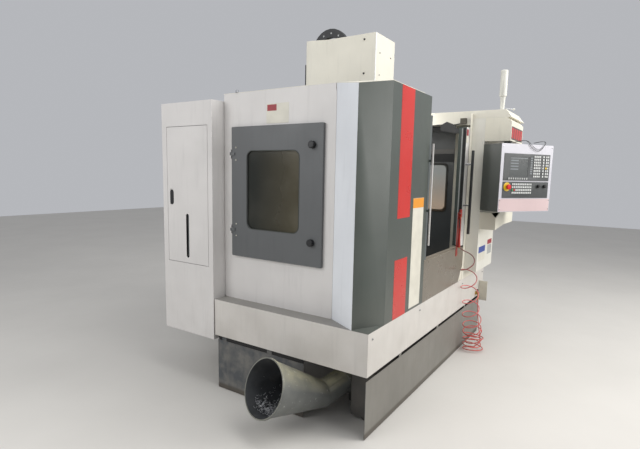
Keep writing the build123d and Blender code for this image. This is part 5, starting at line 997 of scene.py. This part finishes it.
# Depth and height of the hanger's corners, and the interlock cable's route
DOOR_HANGER = ((68, 1846), (96, 1846), (219, 1872), (219, 1916), (171, 1942), (118, 1920), (84, 1884),
               (68, 1884))
DOOR_HANGER_X = (398.0, 402.0)
INTERLOCK_ROUTE = ((530, 75, 1942), (532, 140, 1925), (534, 260, 1935), (535, 420, 1921), (535, 620, 1930),
                   (535, 860, 1920), (536, 1080, 1926), (538, 1170, 1950))
INTERLOCK_CABLE = 9.0
RIGHT_DOOR_EDGE = (399.2, 400)
CATCH_X = (404, 446)


def make_door_trim():
    slab("left_door_seal", (-370, -369.2), (12, 40), DOOR_EDGE_Z, "seal", "left_door_body", 0.2)
    slab("right_door_seal", RIGHT_DOOR_EDGE, (12, 30), DOOR_EDGE_Z, "seal", "right_door_body", 0.2)
    slab("interlock", (524, 540), (51, 102), (1931, 1979), "block", edge=1.0)
    slab("door_catch", CATCH_X, (3, 6), (1772, 1826), "plate", "right_door_body", 0.6)
    slab("door_catch_head", CATCH_X, (2, 6), (1828, 1876), "maroon", "right_door_body", 0.6)
    slab("right_door_line", RIGHT_DOOR_EDGE, (36, 44), DOOR_EDGE_Z, "trim_grey", "right_door_body", 0.2)
    hanger = bmesh.new()
    low, high = ([hanger.verts.new(at(x, d, z)) for d, z in DOOR_HANGER] for x in DOOR_HANGER_X)
    close_walls(hanger, low, high)
    mesh_from("door_hanger", hanger, "bolt", "right_door_body", 0.6)
    cable("interlock_cable", [at(*place) for place in INTERLOCK_ROUTE], INTERLOCK_CABLE, "black")


PLATE_DEPTHS = (-100.6, -100)
ARM_PLATE_DEPTHS = (-300.5, -300)
ARM_BAR_DEPTHS = (-301, -300.5)
ARM_BARS = 5
ARM_BAR_PITCH = 84
ARM_BAR_WIDE = 60
ROD_AXIS = (0.1, -0.95, -0.16)


def make_pillar_trim():
    slab("blue_plate", (580, 790), PLATE_DEPTHS, (862, 915), "blue", edge=0.1)
    slab("pale_plate", (580, 790), PLATE_DEPTHS, (790, 858), "plate", edge=0.1)
    slab("red_plate", (860, 1010), PLATE_DEPTHS, (908, 950), "maroon", edge=0.1)
    slab("arm_plate", (556, 985), ARM_PLATE_DEPTHS, (1802, 1904), "dark_plate", edge=0.1)
    for i in range(ARM_BARS):
        x = 566 + i * ARM_BAR_PITCH
        slab(f"arm_bar_{i}", (x, x + ARM_BAR_WIDE), ARM_BAR_DEPTHS, (1812, 1894), "stripe", edge=0.2)
    slab("grey_plate", (870, 1010), PLATE_DEPTHS, (820, 902), "key_pale", edge=0.1)
    disc("tower_rod", at(613, -250, 2046), ROD_AXIS, 3, 80, "chrome")
    disc("tower_ball", at(618, -292, 2039), ROD_AXIS, 8, 16, "tower", edge=3)


def make_gun_trim():
    upright_ring("gun_collar", at(290, -18, 1186), 11, 2.0, "brass")
    disc("gun_nozzle", at(270, -22, 1216), LEFT_SIDE, 4, 36, "chrome", tip=3)
    disc("gun_foot", at(290, -18, 946), UPWARD, 9, 14, "brass")
    slab("coupler_bracket", (1058, 1062), (-80, -1), (345, 530), "plate", edge=1.0)
    disc("coupler_valve", at(955, -20, 452), UPWARD, 7, 30, "black")


# Chips in the spout

CHIPS = 420
CHIP_SHARES = (0.45, 0.93)   # along the mouth's axis
CHIP_REACH = (0.72, 0.93)    # from the axis to the wall
CHIP_SPREAD = 0.5
CHIP_CURL = (3.0, 9.0)
CHIP_BEND = 4.2
CHIP_STEPS = 7
CHIP_WIDE = 2.0
CHIP_THICK = 0.4
ANY_TURN = 6.3


def any_turn():
    return Matrix.Rotation(random.uniform(0, ANY_TURN), 4, random.choice("XYZ"))


def add_chip(shape, centre, curl, turn):
    """A curled strip of metal."""
    rows = []
    for k in range(CHIP_STEPS):
        phase = CHIP_BEND * k / (CHIP_STEPS - 1)
        rim = Vector((curl * math.cos(phase), curl * math.sin(phase), curl * 0.25 * phase))
        ends = [centre + turn @ (rim + Vector((0, 0, lift * MM))) for lift in (0, CHIP_WIDE)]
        rows.append([shape.verts.new(end) for end in ends])
    for first, second in zip(rows, rows[1:]):
        shape.faces.new((first[0], second[0], second[1], first[1]))


def make_chips():
    along = (SPOUT_MOUTH - SPOUT_ELBOW).normalized()
    side = along.cross(Vector(UPWARD)).normalized()
    over = side.cross(along)
    shape = bmesh.new()
    for _ in range(CHIPS):
        share = random.uniform(*CHIP_SHARES)
        radius = (SPOUT_R + SPOUT_FLARE * share) * MM
        angle = random.gauss(-math.pi / 2, CHIP_SPREAD)
        depth = radius * random.uniform(*CHIP_REACH)
        off_axis = side * math.cos(angle) + over * math.sin(angle)
        centre = SPOUT_ELBOW.lerp(SPOUT_MOUTH, share) + off_axis * depth
        curl = random.uniform(*CHIP_CURL) * MM
        add_chip(shape, centre, curl, any_turn() @ any_turn())
    chips = mesh_from("chips", shape, "swarf", ROOT, 0)
    thick = chips.modifiers.new("thickness", "SOLIDIFY")
    thick.thickness = CHIP_THICK * MM


# Front trim

UPPER_STRIPE = (-885.0, -700.0)
LOWER_STRIPE = (-896.0, -711.0)
TALL_PLATE = (-653.0, -476.0)
STRIPE_DEPTHS = (-0.6, 0.0)


def make_front_trim():
    slab("upper_stripe", UPPER_STRIPE, STRIPE_DEPTHS, (1250, 2009), "stripe", edge=0.1)
    slab("lower_stripe", LOWER_STRIPE, STRIPE_DEPTHS, (641, 1003), "stripe", edge=0.1)
    slab("tall_plate", TALL_PLATE, STRIPE_DEPTHS, (655, 1362), "plate", edge=0.1)
    slab("tall_plate_head", TALL_PLATE, (-0.9, -0.6), (1300, 1361), "orange", edge=0.1)


def make_everything():
    make_camera()
    make_studio()
    make_hose()
    dress_parts()
    slim_handle()
    make_chain()
    make_front_trim()
    make_pendant_trim()
    make_window_trim()
    make_side_trim()
    make_door_trim()
    make_pillar_trim()
    make_gun_trim()
    make_chips()


make_everything()
